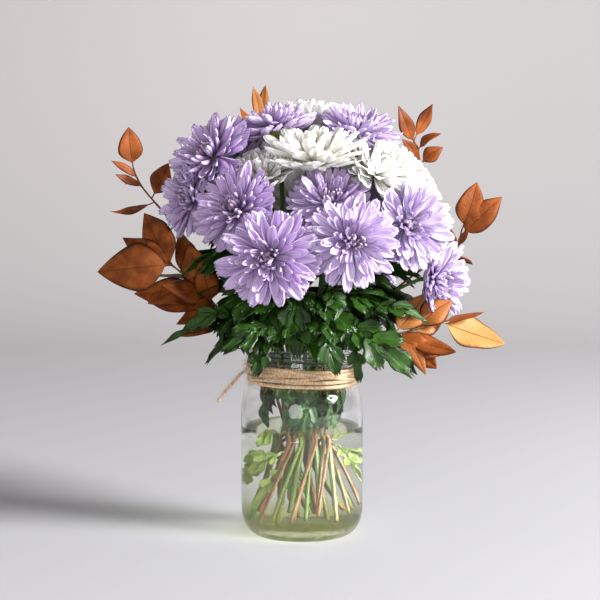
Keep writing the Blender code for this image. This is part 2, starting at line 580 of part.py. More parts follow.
def leaf_sheet(name, leaf, outline, steps, thickness, collection, slot=None, stalk=None):
    """A leaf as an arched sheet with thickness. outline gives its half width along it, 0 to 1.
    A stalk runs to the blade's base from the point given."""
    base, tip, width, droop, azimuth, elevation = leaf
    base, tip = Vector(base), Vector(tip)
    face = Vector(toward(azimuth, elevation))
    along = tip - base
    side = along.cross(face).normalized()
    up = side.cross(along).normalized()
    rows = []
    for step in range(steps + 1):
        t = step / steps
        middle = base + along * t + up * droop * 4 * t * (1 - t)
        half = width / 2 * outline(t)
        lift = up * half * 0.25
        rows.append((middle - side * half + lift, middle, middle + side * half + lift))
    if stalk is not None:
        rows.insert(0, tuple(Vector(stalk) + side * across for across in (-STALK_HALF, 0.0, STALK_HALF)))
    faces = [(3 * i + k, 3 * i + k + 1, 3 * i + k + 4, 3 * i + k + 3)
             for i in range(len(rows) - 1) for k in (0, 1)]
    mesh = mesh_from(name, [v for row in rows for v in row], (), faces)
    obj = add_mesh(name, mesh, collection, slot)
    wall = obj.modifiers.new("Thickness", "SOLIDIFY")
    wall.thickness = thickness
    wall.offset = 0.0
    return obj


def oval_outline(t):
    """A pointed oval: narrow at its stalk, widest below the middle."""
    return max(0.07, math.sin(math.pi * min(t, 1.0) ** 0.85) ** 0.9) if t < 1 else 0.05


def lobed_outline(t):
    """A leaf cut into lobes: wide at each lobe's tip and narrow between them."""
    spread = max(0.0, math.sin(math.pi * t ** 1.25)) ** 0.8
    lobes = 0.62 + 0.38 * math.cos(math.pi * GREEN_STEPS * (t - 0.5))
    return max(0.06, spread * (lobes if 0.2 < t < 0.95 else 0.5))


def make_green_leaves():
    stems = whole_stems(routes)
    for name, *leaf in LEAVES:
        leaf_sheet(name, leaf, lobed_outline, GREEN_STEPS, GREEN_THICKNESS, parts, "green_leaf",
                   stalk_start(leaf[0], stems))


def make_sprays():
    """Each spray is its twig with its leaves joined on. Returns the twigs' straight parts."""
    straights = []
    for index, (name, azimuth, _, leaves) in enumerate(SPRAYS, len(BLOOMS)):
        foot, top = straight_part(index, name, "twig", azimuth)
        path = np.concatenate([[foot], evenly(routes[name], TWIG_POINTS)])
        twig = baked(tube(name, path, TWIG_RADIUS, parts))
        twig.data.materials.append(material("copper_leaf"))
        bar = evenly(path, 400)
        for number, (base, *leaf) in enumerate(leaves, 1):
            on_twig = bar[np.linalg.norm(bar - base, axis=1).argmin()]
            join = twig.modifiers.new(f"Leaf {number}", "BOOLEAN")
            join.operation = "UNION"
            join.object = leaf_sheet(f"{name}_leaf_{number}", (on_twig, *leaf), oval_outline,
                                     COPPER_STEPS, COPPER_THICKNESS, helpers)
        straights.append((foot, top, TWIG_RADIUS))
    return straights


clear_scene()
parts = new_collection("chrysanthemums in a glass jar")
helpers = new_collection("helpers", helper=True)
routes = settled_routes()
make_jar()
make_twine()
make_water(make_stems() + make_sprays())
make_blooms()
make_green_leaves()
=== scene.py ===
"""Looks for the chrysanthemums in a glass jar: florets, leaves, stems, glass, water and twine."""
import json
import math

import bmesh
import bpy
import numpy as np
from mathutils import Matrix, Vector

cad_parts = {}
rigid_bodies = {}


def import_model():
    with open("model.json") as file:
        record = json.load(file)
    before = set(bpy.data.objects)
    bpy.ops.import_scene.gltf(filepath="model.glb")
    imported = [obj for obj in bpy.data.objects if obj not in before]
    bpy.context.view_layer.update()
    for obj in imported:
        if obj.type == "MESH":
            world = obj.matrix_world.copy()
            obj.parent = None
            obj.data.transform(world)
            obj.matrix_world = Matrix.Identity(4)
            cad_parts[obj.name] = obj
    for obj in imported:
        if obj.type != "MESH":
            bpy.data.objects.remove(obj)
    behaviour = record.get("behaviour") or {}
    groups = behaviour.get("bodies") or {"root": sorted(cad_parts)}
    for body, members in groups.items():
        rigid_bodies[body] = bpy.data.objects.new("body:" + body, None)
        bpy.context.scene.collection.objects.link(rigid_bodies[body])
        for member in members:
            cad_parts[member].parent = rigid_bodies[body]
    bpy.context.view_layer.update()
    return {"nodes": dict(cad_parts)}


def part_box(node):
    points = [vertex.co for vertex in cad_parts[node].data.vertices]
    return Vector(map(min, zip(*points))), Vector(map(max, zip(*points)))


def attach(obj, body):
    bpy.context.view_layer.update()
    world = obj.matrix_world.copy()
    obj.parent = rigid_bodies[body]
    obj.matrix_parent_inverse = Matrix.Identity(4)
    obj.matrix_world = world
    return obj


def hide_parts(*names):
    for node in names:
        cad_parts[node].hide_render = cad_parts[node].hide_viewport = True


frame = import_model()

GOLDEN_ANGLE = math.pi * (3 - math.sqrt(5))
BODY = "root"

# ---------------------------------------------------------------- the bouquet's plan
# A bloom: name, colour, centre of its petal disc, azimuth and elevation that it faces
# (degrees; -90 is the front), petal radius, and the ring of stems that its stem is in.
BLOOMS = [
    ("lilac_bloom_1", "lilac", (-0.025, -0.092, 0.230), -97, 5, 0.037, "outer"),
    ("lilac_bloom_2", "lilac", (0.038, -0.085, 0.241), -80, 0, 0.035, "outer"),
    ("lilac_bloom_3", "lilac", (-0.053, -0.062, 0.266), -120, 20, 0.034, "outer"),
    ("lilac_bloom_4", "lilac", (-0.074, -0.020, 0.308), -135, 35, 0.034, "outer"),
    ("lilac_bloom_5", "lilac", (-0.093, -0.022, 0.272), -155, 10, 0.031, "outer"),
    ("lilac_bloom_6", "lilac", (-0.023, 0.004, 0.333), 150, 75, 0.033, "inner"),
    ("lilac_bloom_7", "lilac", (0.045, 0.008, 0.329), -60, 65, 0.034, "inner"),
    ("lilac_bloom_8", "lilac", (0.021, -0.040, 0.273), -90, 45, 0.033, "inner"),
    ("lilac_bloom_9", "lilac", (0.089, -0.045, 0.252), -50, 10, 0.034, "outer"),
    ("lilac_bloom_10", "lilac", (0.115, -0.020, 0.206), -20, -5, 0.030, "outer"),
    ("lilac_bloom_11", "lilac", (-0.052, 0.032, 0.308), 140, 60, 0.033, "inner"),
    ("lilac_bloom_12", "lilac", (0.055, 0.062, 0.288), 45, 35, 0.035, "outer"),
    ("lilac_bloom_13", "lilac", (-0.062, 0.066, 0.270), 135, 25, 0.035, "outer"),
    ("lilac_bloom_14", "lilac", (0.060, 0.080, 0.222), 50, 0, 0.034, "outer"),
    ("white_bloom_1", "white", (0.009, -0.022, 0.311), -90, 80, 0.042, "inner"),
    ("white_bloom_2", "white", (0.060, -0.012, 0.296), -45, 50, 0.034, "inner"),
    ("white_bloom_3", "white", (0.092, 0.020, 0.277), -5, 30, 0.036, "outer"),
    ("white_bloom_4", "white", (-0.034, -0.023, 0.2915), -140, 60, 0.028, "inner"),
    ("white_bloom_5", "white", (0.005, 0.047, 0.328), 90, 65, 0.034, "inner"),
    ("white_bloom_6", "white", (-0.005, 0.088, 0.262), 92, 20, 0.036, "outer"),
]
BLOOM_DEPTH = 0.016        # from a bloom's petal disc back to the underside of its calyx
STEM_RADIUS = 0.0019
TWIG_RADIUS = 0.0013
STEM_GAP = 0.0003          # between a stem's end and its calyx
STALK_GAP = 0.0008         # from a stem's surface to the middle of a leaf stalk's end

# The stems stand as a hand-tied spiral: each ring lies on a hyperboloid whose waist is
# just above the water. Ring: radius at the waist, and sideways run per metre of height.
WAIST_Z = 0.094
RINGS = {"inner": (0.0070, 0.17), "outer": (0.0148, 0.36), "twig": (0.0206, 0.40)}
STRAIGHT_TOP = 0.138       # the stems are straight up to here, inside the jar's neck
FOOT_LOW = 0.0105
FOOT_STEP = 0.0019         # the feet differ by up to six of these steps
NECK_CLEAR = 0.0368        # what passes the mouth stays inside this radius
NECK_TOP = 0.156
STEM_SPACING = 0.0011      # clear distance kept between neighbouring stems

# A spray of copper leaves: name, azimuth of its twig in the mouth, the twig's points past
# the mouth, and its leaves as (base, tip, width, droop, azimuth and elevation it faces).
SPRAYS = [
    ("copper_spray_1", 166, [(-0.080, 0.004, 0.222), (-0.103, 0.002, 0.251), (-0.118, 0.001, 0.268),
                             (-0.1295, 0.0, 0.2825), (-0.1345, 0.0, 0.2950)], [
        ((-0.1345, 0.0, 0.2945), (-0.1376, -0.004, 0.3275), 0.0185, 0.003, -80, 15),
        ((-0.1312, 0.0, 0.2845), (-0.1512, -0.008, 0.3010), 0.0065, 0.003, -100, 35),
        ((-0.1302, 0.0, 0.2835), (-0.1420, 0.006, 0.2815), 0.0060, 0.002, -70, 60),
        ((-0.1200, 0.001, 0.2700), (-0.1080, 0.018, 0.2985), 0.0165, 0.002, -75, 5),
        ((-0.1180, 0.001, 0.2680), (-0.1520, -0.012, 0.2612), 0.0100, -0.003, -110, 55),
    ]),
    ("copper_spray_2", -166, [(-0.062, -0.006, 0.178), (-0.080, -0.008, 0.198), (-0.096, -0.010, 0.212),
                              (-0.104, -0.011, 0.219)], [
        ((-0.103, -0.0110, 0.2185), (-0.162, -0.017, 0.2135), 0.0370, 0.006, -95, 25),
        ((-0.1015, -0.0108, 0.2170), (-0.1275, 0.013, 0.2585), 0.0290, 0.001, -105, -5),
        ((-0.080, -0.0080, 0.1980), (-0.1216, -0.026, 0.1885), 0.0260, 0.004, -100, 40),
        ((-0.066, -0.0066, 0.1825), (-0.0990, -0.028, 0.1730), 0.0180, 0.004, -95, 45),
        ((-0.090, -0.0095, 0.2068), (-0.1400, 0.016, 0.2040), 0.0210, 0.003, 160, 60),
    ]),
    ("copper_spray_3", 34, [(0.072, 0.048, 0.225), (0.094, 0.061, 0.261), (0.0985, 0.0565, 0.295),
                            (0.0925, 0.0475, 0.317)], [
        ((0.0940, 0.0500, 0.3130), (0.0790, 0.040, 0.3450), 0.0120, 0.003, -80, 10),
        ((0.0925, 0.0475, 0.3170), (0.1075, 0.044, 0.3465), 0.0115, -0.003, -60, 10),
        ((0.0950, 0.0520, 0.3090), (0.1140, 0.042, 0.3225), 0.0105, 0.003, -70, 50),
        ((0.0985, 0.0565, 0.2970), (0.1170, 0.054, 0.3110), 0.0130, 0.003, -60, 40),
    ]),
    ("copper_spray_4", 4, [(0.076, 0.006, 0.198), (0.101, 0.009, 0.217), (0.1235, 0.009, 0.2285),
                           (0.1285, 0.008, 0.2450)], [
        ((0.1285, 0.0080, 0.2445), (0.1400, 0.002, 0.2835), 0.0215, 0.003, -85, 5),
        ((0.1270, 0.0083, 0.2400), (0.1600, 0.002, 0.2720), 0.0205, 0.004, -70, 25),
        ((0.1240, 0.0090, 0.2300), (0.1190, -0.004, 0.2465), 0.0060, 0.002, -100, 10),
        ((0.1130, 0.0090, 0.2235), (0.1400, 0.030, 0.2160), 0.0160, 0.003, 40, 60),
    ]),
    ("copper_spray_5", -36, [(0.046, -0.030, 0.1610), (0.060, -0.036, 0.1650), (0.074, -0.036, 0.1660),
                             (0.088, -0.036, 0.1695), (0.110, -0.035, 0.1765)], [
        ((0.1095, -0.0350, 0.1763), (0.1592, -0.036, 0.1580), 0.0300, -0.004, -85, 45),
        ((0.0770, -0.0356, 0.1670), (0.1192, -0.058, 0.1545), 0.0160, -0.003, -100, 40),
        ((0.0745, -0.0360, 0.1662), (0.1050, -0.046, 0.1400), 0.0210, -0.003, -100, 15),
        ((0.0720, -0.0360, 0.1659), (0.0980, -0.020, 0.1965), 0.0230, 0.003, -110, 10),
        ((0.1090, -0.0350, 0.1760), (0.1424, -0.034, 0.1835), 0.0080, -0.002, -80, 60),
    ]),
    ("copper_spray_6", 118, [(-0.022, 0.048, 0.215), (-0.028, 0.064, 0.262), (-0.031, 0.066, 0.300),
                             (-0.0345, 0.058, 0.3330)], [
        ((-0.0343, 0.0585, 0.3300), (-0.0400, 0.050, 0.3605), 0.0090, 0.002, -80, 0),
        ((-0.0345, 0.0580, 0.3330), (-0.0300, 0.054, 0.3625), 0.0085, -0.002, -95, 0),
        ((-0.0335, 0.0615, 0.3190), (-0.0520, 0.078, 0.3440), 0.0110, 0.003, 130, 20),
    ]),
]

# A lobed green leaf: name, base, tip, width, droop, azimuth and elevation it faces.
LEAVES = [
    ("green_leaf_1", (-0.050, -0.047, 0.1830), (-0.0905, -0.056, 0.1730), 0.022, 0.004, -95, 50),
    ("green_leaf_2", (-0.060, -0.028, 0.1700), (-0.1070, -0.040, 0.1620), 0.012, 0.004, -110, 60),
    ("green_leaf_3", (-0.022, -0.052, 0.1760), (-0.0580, -0.070, 0.1580), 0.026, 0.003, -95, 45),
    ("green_leaf_4", (-0.030, -0.046, 0.1640), (-0.0360, -0.054, 0.1370), 0.018, 0.003, -100, 10),
    ("green_leaf_5", (0.018, -0.052, 0.1730), (0.0270, -0.062, 0.1390), 0.021, 0.003, -85, 15),
    ("green_leaf_6", (0.040, -0.050, 0.1650), (0.0440, -0.058, 0.1330), 0.014, 0.003, -80, 5),
    ("green_leaf_7", (0.034, -0.046, 0.1750), (0.0830, -0.070, 0.1420), 0.036, 0.004, -85, 35),
    ("green_leaf_8", (0.052, -0.048, 0.1880), (0.0945, -0.058, 0.1800), 0.022, 0.004, -80, 60),
    ("green_leaf_9", (-0.030, 0.052, 0.1800), (-0.0640, 0.080, 0.1620), 0.028, 0.004, 115, 45),
    ("green_leaf_10", (0.028, 0.050, 0.1760), (0.0480, 0.088, 0.1520), 0.030, 0.004, 70, 40),
]


def toward(azimuth, elevation):
    """The unit vector at this azimuth and elevation, in degrees."""
    a, e = math.radians(azimuth), math.radians(elevation)
    return np.array([math.cos(a) * math.cos(e), math.sin(a) * math.cos(e), math.sin(e)])


def spiral_point(ring, mouth_azimuth, z):
    """A point at height z on the straight stem that leaves the mouth at this azimuth."""
    radius, run = RINGS[ring]
    lead = math.atan2((NECK_TOP - WAIST_Z) * run, radius)
    start = math.radians(mouth_azimuth) - lead
    out = np.array([math.cos(start), math.sin(start), 0.0])
    along = np.array([-math.sin(start), math.cos(start), 0.0])
    return radius * out + (z - WAIST_Z) * run * along + np.array([0.0, 0.0, z])


def hermite(start, start_pull, end, end_pull, count):
    """Points on the curve that leaves start along start_pull and reaches end along end_pull."""
    t = np.linspace(0.0, 1.0, count)[:, None]
    return ((2 * t**3 - 3 * t**2 + 1) * start + (t**3 - 2 * t**2 + t) * start_pull
            + (3 * t**2 - 2 * t**3) * end + (t**3 - t**2) * end_pull)


def smooth_through(points, count):
    """Evenly spaced points on a smooth curve through the given ones."""
    points = np.array(points, float)
    padded = np.concatenate([[2 * points[0] - points[1]], points, [2 * points[-1] - points[-2]]])
    fine = [points[:1]]
    for i in range(1, len(padded) - 2):
        pull = (padded[i + 1] - padded[i - 1]) / 2, (padded[i + 2] - padded[i]) / 2
        fine.append(hermite(padded[i], pull[0], padded[i + 1], pull[1], 25)[1:])
    return evenly(np.concatenate(fine), count)


def evenly(points, count):
    """The same path as count points at equal distances."""
    steps = np.linalg.norm(np.diff(points, axis=0), axis=1)
    at = np.concatenate([[0.0], np.cumsum(steps)])
    wanted = np.linspace(0.0, at[-1], count)
    return np.stack([np.interp(wanted, at, points[:, k]) for k in range(3)], axis=1)


def mouth_slots():
    """The azimuth at which each bloom's stem leaves the mouth: even slots, in the blooms' order."""
    slots = {}
    for ring in ("inner", "outer"):
        members = [b for b in BLOOMS if b[6] == ring]
        azimuth = {b[0]: math.degrees(math.atan2(b[2][1], b[2][0])) for b in members}
        members.sort(key=lambda b: azimuth[b[0]])
        step = 360.0 / len(members)
        turn = np.mean([azimuth[b[0]] - i * step for i, b in enumerate(members)])
        for i, bloom in enumerate(members):
            slots[bloom[0]] = turn + i * step
    return slots


ROUTE_POINTS = 30          # past the straight part of a stem or twig
SETTLING_ROUNDS = 70
STRAIGHTENING = 0.10       # share of its kinks that a route loses in a round
STEM_PUSH = 0.35           # share of an overlap between two routes that a round clears
HEAD_PUSH = 0.3            # the same, between a route and a bloom
HEAD_PULL = 0.55           # how early a stem turns into line with its head, as a share of its length
BLOOM_KEEP_OUT = 0.0175    # half the depth of the space round a bloom that other stems avoid
KEEP_OUT_BACK = 0.003      # from the petal disc back to the middle of that space
PETAL_CLEAR = 0.002        # how far that space reaches past the petals


def first_routes():
    """Each stem's and twig's path past the straight part, before it gives way to the others."""
    slots, routes = mouth_slots(), {}
    for name, _, centre, azimuth, elevation, _, ring in BLOOMS:
        axis = toward(azimuth, elevation)
        end = np.array(centre) - (BLOOM_DEPTH + STEM_GAP) * axis
        low, high = (spiral_point(ring, slots[name], STRAIGHT_TOP - drop) for drop in (0.01, 0.0))
        length = np.linalg.norm(end - high)
        lift = (high - low) / np.linalg.norm(high - low)
        path = hermite(high, lift * length, end, axis * length * HEAD_PULL, 60)
        routes[name] = evenly(path, ROUTE_POINTS)
    for name, azimuth, points, _ in SPRAYS:
        knots = [spiral_point("twig", azimuth, STRAIGHT_TOP + rise) for rise in (-0.012, 0.0, 0.014)]
        path = smooth_through(knots + [np.array(p) for p in points], 90)
        path = path[path[:, 2] >= STRAIGHT_TOP]
        routes[name] = evenly(np.concatenate([[knots[1]], path]), ROUTE_POINTS)
    return routes


def settled_routes():
    """The paths after they have pushed each other, and the blooms, clear. The ends stay put."""
    routes = first_routes()
    names = list(routes)
    paths = np.stack([routes[name] for name in names])
    radius = np.array([TWIG_RADIUS if name.startswith("copper") else STEM_RADIUS for name in names])
    free = np.ones(paths.shape[:2])
    free[:, :2], free[:, -3:] = 0.0, 0.0
    for name, _, _, leaves in SPRAYS:
        twig = names.index(name)
        first_leaf = min(np.linalg.norm(paths[twig] - leaf[0], axis=1).argmin() for leaf in leaves)
        free[twig, first_leaf - 1:] = 0.0
    owner = np.repeat(np.arange(len(names)), ROUTE_POINTS)
    need = radius[owner][:, None] + radius[owner][None] + STEM_SPACING
    need[owner[:, None] == owner[None]] = 0.0
    for _ in range(SETTLING_ROUNDS):
        middle = (paths[:, :-2] + paths[:, 2:]) / 2
        paths[:, 1:-1] += STRAIGHTENING * free[:, 1:-1, None] * (middle - paths[:, 1:-1])
        flat = paths.reshape(-1, 3)
        square = (flat**2).sum(axis=1)
        apart = np.sqrt(np.maximum(square[:, None] + square[None] - 2 * flat @ flat.T, 1e-12))
        push = np.maximum(need - apart, 0.0) / apart
        move = STEM_PUSH * (push.sum(axis=1)[:, None] * flat - push @ flat)
        for name, _, centre, azimuth, elevation, petals, _ in BLOOMS:
            axis = toward(azimuth, elevation)
            offset = flat - (np.array(centre) - KEEP_OUT_BACK * axis)
            along = offset @ axis
            wide = np.linalg.norm(offset - along[:, None] * axis, axis=1)
            inside = np.hypot(along / BLOOM_KEEP_OUT, wide / (petals + PETAL_CLEAR))
            sunk = np.where(owner == names.index(name), 0.0, np.maximum(1.0 - inside, 0.0))
            rim = np.clip(wide / petals, 0.0, 1.0)[:, None] ** 2
            outward = (offset - along[:, None] * axis) / np.maximum(wide, 1e-6)[:, None]
            move += HEAD_PUSH * BLOOM_KEEP_OUT * sunk[:, None] * (rim * outward - (1.0 - rim) * axis)
        paths = (flat + move * free.reshape(-1, 1)).reshape(paths.shape)
        off_axis = np.linalg.norm(paths[:, :, :2], axis=2)
        most = np.where(paths[:, :, 2] < NECK_TOP, NECK_CLEAR - radius[:, None], 1.0)
        paths[:, :, :2] *= np.minimum(1.0, most / np.maximum(off_axis, 1e-6))[:, :, None]
    return dict(zip(names, paths))


def foot_height(index):
    """The height of a stem's cut end above the table."""
    return FOOT_LOW + FOOT_STEP * ((index * 5) % 7)


def from_foot(ring, azimuth, index, route, below, above):
    """A whole stem or twig: straight up from its foot, then along its route."""
    foot = spiral_point(ring, azimuth, foot_height(index))
    straight = foot + (route[0] - foot) * np.linspace(0.0, 1.0, below)[:-1, None]
    return np.concatenate([straight, evenly(route, above)])


def whole_stems(routes):
    """Every bloom's stem from its foot to its calyx, as closely spaced points."""
    slots = mouth_slots()
    return {bloom[0]: from_foot(bloom[6], slots[bloom[0]], index, routes[bloom[0]], 60, 160)
            for index, bloom in enumerate(BLOOMS)}


def stalk_start(base, stems):
    """Where a green leaf's stalk leaves the nearest stem on its way to the blade's base."""
    every = np.concatenate(list(stems.values()))
    nearest = every[np.linalg.norm(every - base, axis=1).argmin()]
    away = (np.array(base) - nearest) / np.linalg.norm(np.array(base) - nearest)
    return nearest + away * (STEM_RADIUS + STALK_GAP)


# ---------------------------------------------------------------- camera
CAMERA_PLACE = (-0.0016, -1.35, 0.320)
CAMERA_TILT = 5.53         # degrees below level
LENS, SENSOR = 101.3, 36.0    # millimetres


def placed(name, data):
    """A new object in the scene, at the origin."""
    obj = bpy.data.objects.new(name, data)
    bpy.context.scene.collection.objects.link(obj)
    return obj


def make_camera():
    data = bpy.data.cameras.new("camera")
    data.lens, data.sensor_width = LENS, SENSOR
    camera = placed("camera", data)
    camera.location = CAMERA_PLACE
    camera.rotation_euler = (math.radians(90 - CAMERA_TILT), 0.0, 0.0)
    bpy.context.scene.camera = camera


# ---------------------------------------------------------------- mesh helpers
def piece_mesh(name, points, faces, materials, values=(), material_index=None):
    """A smooth-shaded mesh object, at the origin, with float values on its points."""
    mesh = bpy.data.meshes.new(name)
    mesh.from_pydata(np.asarray(points, float).tolist(), [], [list(map(int, f)) for f in faces])
    for made in materials:
        mesh.materials.append(made)
    for key, value in dict(values).items():
        mesh.attributes.new(key, "FLOAT", "POINT").data.foreach_set("value", np.asarray(value, np.float32))
    if material_index is not None:
        mesh.polygons.foreach_set("material_index", np.asarray(material_index, np.int32))
    mesh.shade_smooth()
    mesh.validate()
    return placed(name, mesh)


def stand_in(obj, slot, *nodes):
    """Makes a finished piece ride on the one body, in place of these CAD nodes."""
    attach(obj, BODY)
    if nodes:
        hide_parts(*nodes)
    return obj


class Shape:
    """Points, faces, materials and point values gathered from several closed forms."""

    def __init__(self):
        self.points, self.faces, self.values, self.materials = [], [], {}, []
        self.count = 0

    def add(self, points, faces, material=0, **values):
        self.points.append(np.asarray(points, float))
        self.faces += [[i + self.count for i in face] for face in faces]
        self.materials += [material] * len(faces)
        for key, value in values.items():
            self.values.setdefault(key, []).append(np.broadcast_to(np.asarray(value, float), len(points)))
        self.count += len(points)

    def build(self, name, materials):
        values = {key: np.concatenate(parts) for key, parts in self.values.items()}
        return piece_mesh(name, np.concatenate(self.points), self.faces, materials, values,
                          material_index=self.materials)


def unit(vectors):
    vectors = np.asarray(vectors, float)
    return vectors / np.maximum(np.linalg.norm(vectors, axis=-1, keepdims=True), 1e-12)


def sideways_along(path):
    """Two sideways directions at each point of a path, which don't twist along it."""
    ahead = unit(np.gradient(path, axis=0))
    side = unit(np.cross(ahead[0], (0.31, 0.22, 0.93) if abs(ahead[0][2]) < 0.9 else (1.0, 0.0, 0.0)))
    sides = []
    for direction in ahead:
        side = unit(side - direction * (side @ direction))
        sides.append(side)
    sides = np.array(sides)
    return sides, np.cross(ahead, sides)


def ring_faces(rows, sides):
    """Faces over rings of points, closed by a first and a last pole that are numbered after them."""
    faces = []
    for i in range(rows - 1):
        for k in range(sides):
            n = (k + 1) % sides
            faces.append((i * sides + k, i * sides + n, (i + 1) * sides + n, (i + 1) * sides + k))
    for k in range(sides):
        n = (k + 1) % sides
        faces.append((rows * sides, n, k))
        faces.append((rows * sides + 1, (rows - 1) * sides + k, (rows - 1) * sides + n))
    return faces


def tube_form(path, radii, sides, ridges=0, ridge_depth=0.0):
    """A closed round bar: points, faces, and how far along and around each point is."""
    path = np.asarray(path, float)
    across, up = sideways_along(path)
    turn = np.linspace(0.0, math.tau, sides, endpoint=False)
    radii = np.broadcast_to(np.asarray(radii, float), len(path))[:, None]
    size = radii * (1.0 + ridge_depth * np.cos(ridges * turn)[None])
    rings = (path[:, None] + (size * np.cos(turn))[:, :, None] * across[:, None]
             + (size * np.sin(turn))[:, :, None] * up[:, None])
    rows = len(path)
    points = np.concatenate([rings.reshape(-1, 3), path[:1], path[-1:]])
    along = np.concatenate([np.repeat(np.linspace(0, 1, rows), sides), [0.0, 1.0]])
    around = np.concatenate([np.tile(turn, rows), [0.0, 0.0]])
    return points, ring_faces(rows, sides), along, around


def turned_form(profile, sides, radius_change=None):
    """A closed turned form from (radius, height) points that end on the axis at both ends."""
    profile = np.asarray(profile, float)
    inner = profile[1:-1]
    turn = np.linspace(0.0, math.tau, sides, endpoint=False)
    radius = np.repeat(inner[:, :1], sides, axis=1)
    if radius_change is not None:
        radius = radius + radius_change(inner[:, 1][:, None], turn[None], inner[:, 0][:, None])
    rings = np.stack([radius * np.cos(turn), radius * np.sin(turn),
                      np.repeat(inner[:, 1:], sides, axis=1)], axis=-1)
    points = np.concatenate([rings.reshape(-1, 3), [(0, 0, profile[0, 1])], [(0, 0, profile[-1, 1])]])
    return points, [(face[0], *face[:0:-1]) for face in ring_faces(len(inner), sides)]


def blade_form(rows, columns, place):
    """A closed thin blade. place(t, u, side) gives the points of its upper (1) or lower (-1) skin
    at t along it (0 to 1) and u across it (-1 to 1); the two skins meet at the rim."""
    t = np.linspace(0.0, 1.0, rows + 1)[:, None] * np.ones((1, columns + 1))
    u = np.linspace(-1.0, 1.0, columns + 1)[None] * np.ones((rows + 1, 1))
    upper, lower = place(t, u, 1.0), place(t, u, -1.0)
    wide = columns + 1
    number = np.arange((rows + 1) * wide).reshape(rows + 1, wide)
    under = number.copy()
    under[1:-1, 1:-1] = (rows + 1) * wide + np.arange((rows - 1) * (columns - 1)).reshape(rows - 1, -1)
    points = np.concatenate([upper.reshape(-1, 3), lower[1:-1, 1:-1].reshape(-1, 3)])
    faces = []
    for i in range(rows):
        for k in range(columns):
            faces.append((number[i, k], number[i, k + 1], number[i + 1, k + 1], number[i + 1, k]))
            faces.append((under[i, k], under[i + 1, k], under[i + 1, k + 1], under[i, k + 1]))
    along = np.concatenate([t.reshape(-1), t[1:-1, 1:-1].reshape(-1)])
    across = np.concatenate([u.reshape(-1), u[1:-1, 1:-1].reshape(-1)])
    return points, faces, along, across


# ---------------------------------------------------------------- material helpers
NOISE_ROUGHNESS = 0.55     # how strong each finer layer of a noise is


class Wiring:
    """Short ways to join nodes, for materials and for Geometry Nodes."""

    def put(self, socket, value):
        if isinstance(value, bpy.types.NodeSocket):
            self.tree.links.new(value, socket)
        else:
            socket.default_value = value

    def math(self, operation, first, second=0.0, third=None, clamp=False):
        made = self.tree.nodes.new("ShaderNodeMath")
        made.operation, made.use_clamp = operation, clamp
        for socket, value in zip(made.inputs, (first, second, third)):
            if value is not None:
                self.put(socket, value)
        return made.outputs[0]

    def times(self, first, second):
        return self.math("MULTIPLY", first, second)

    def plus(self, first, second):
        return self.math("ADD", first, second)


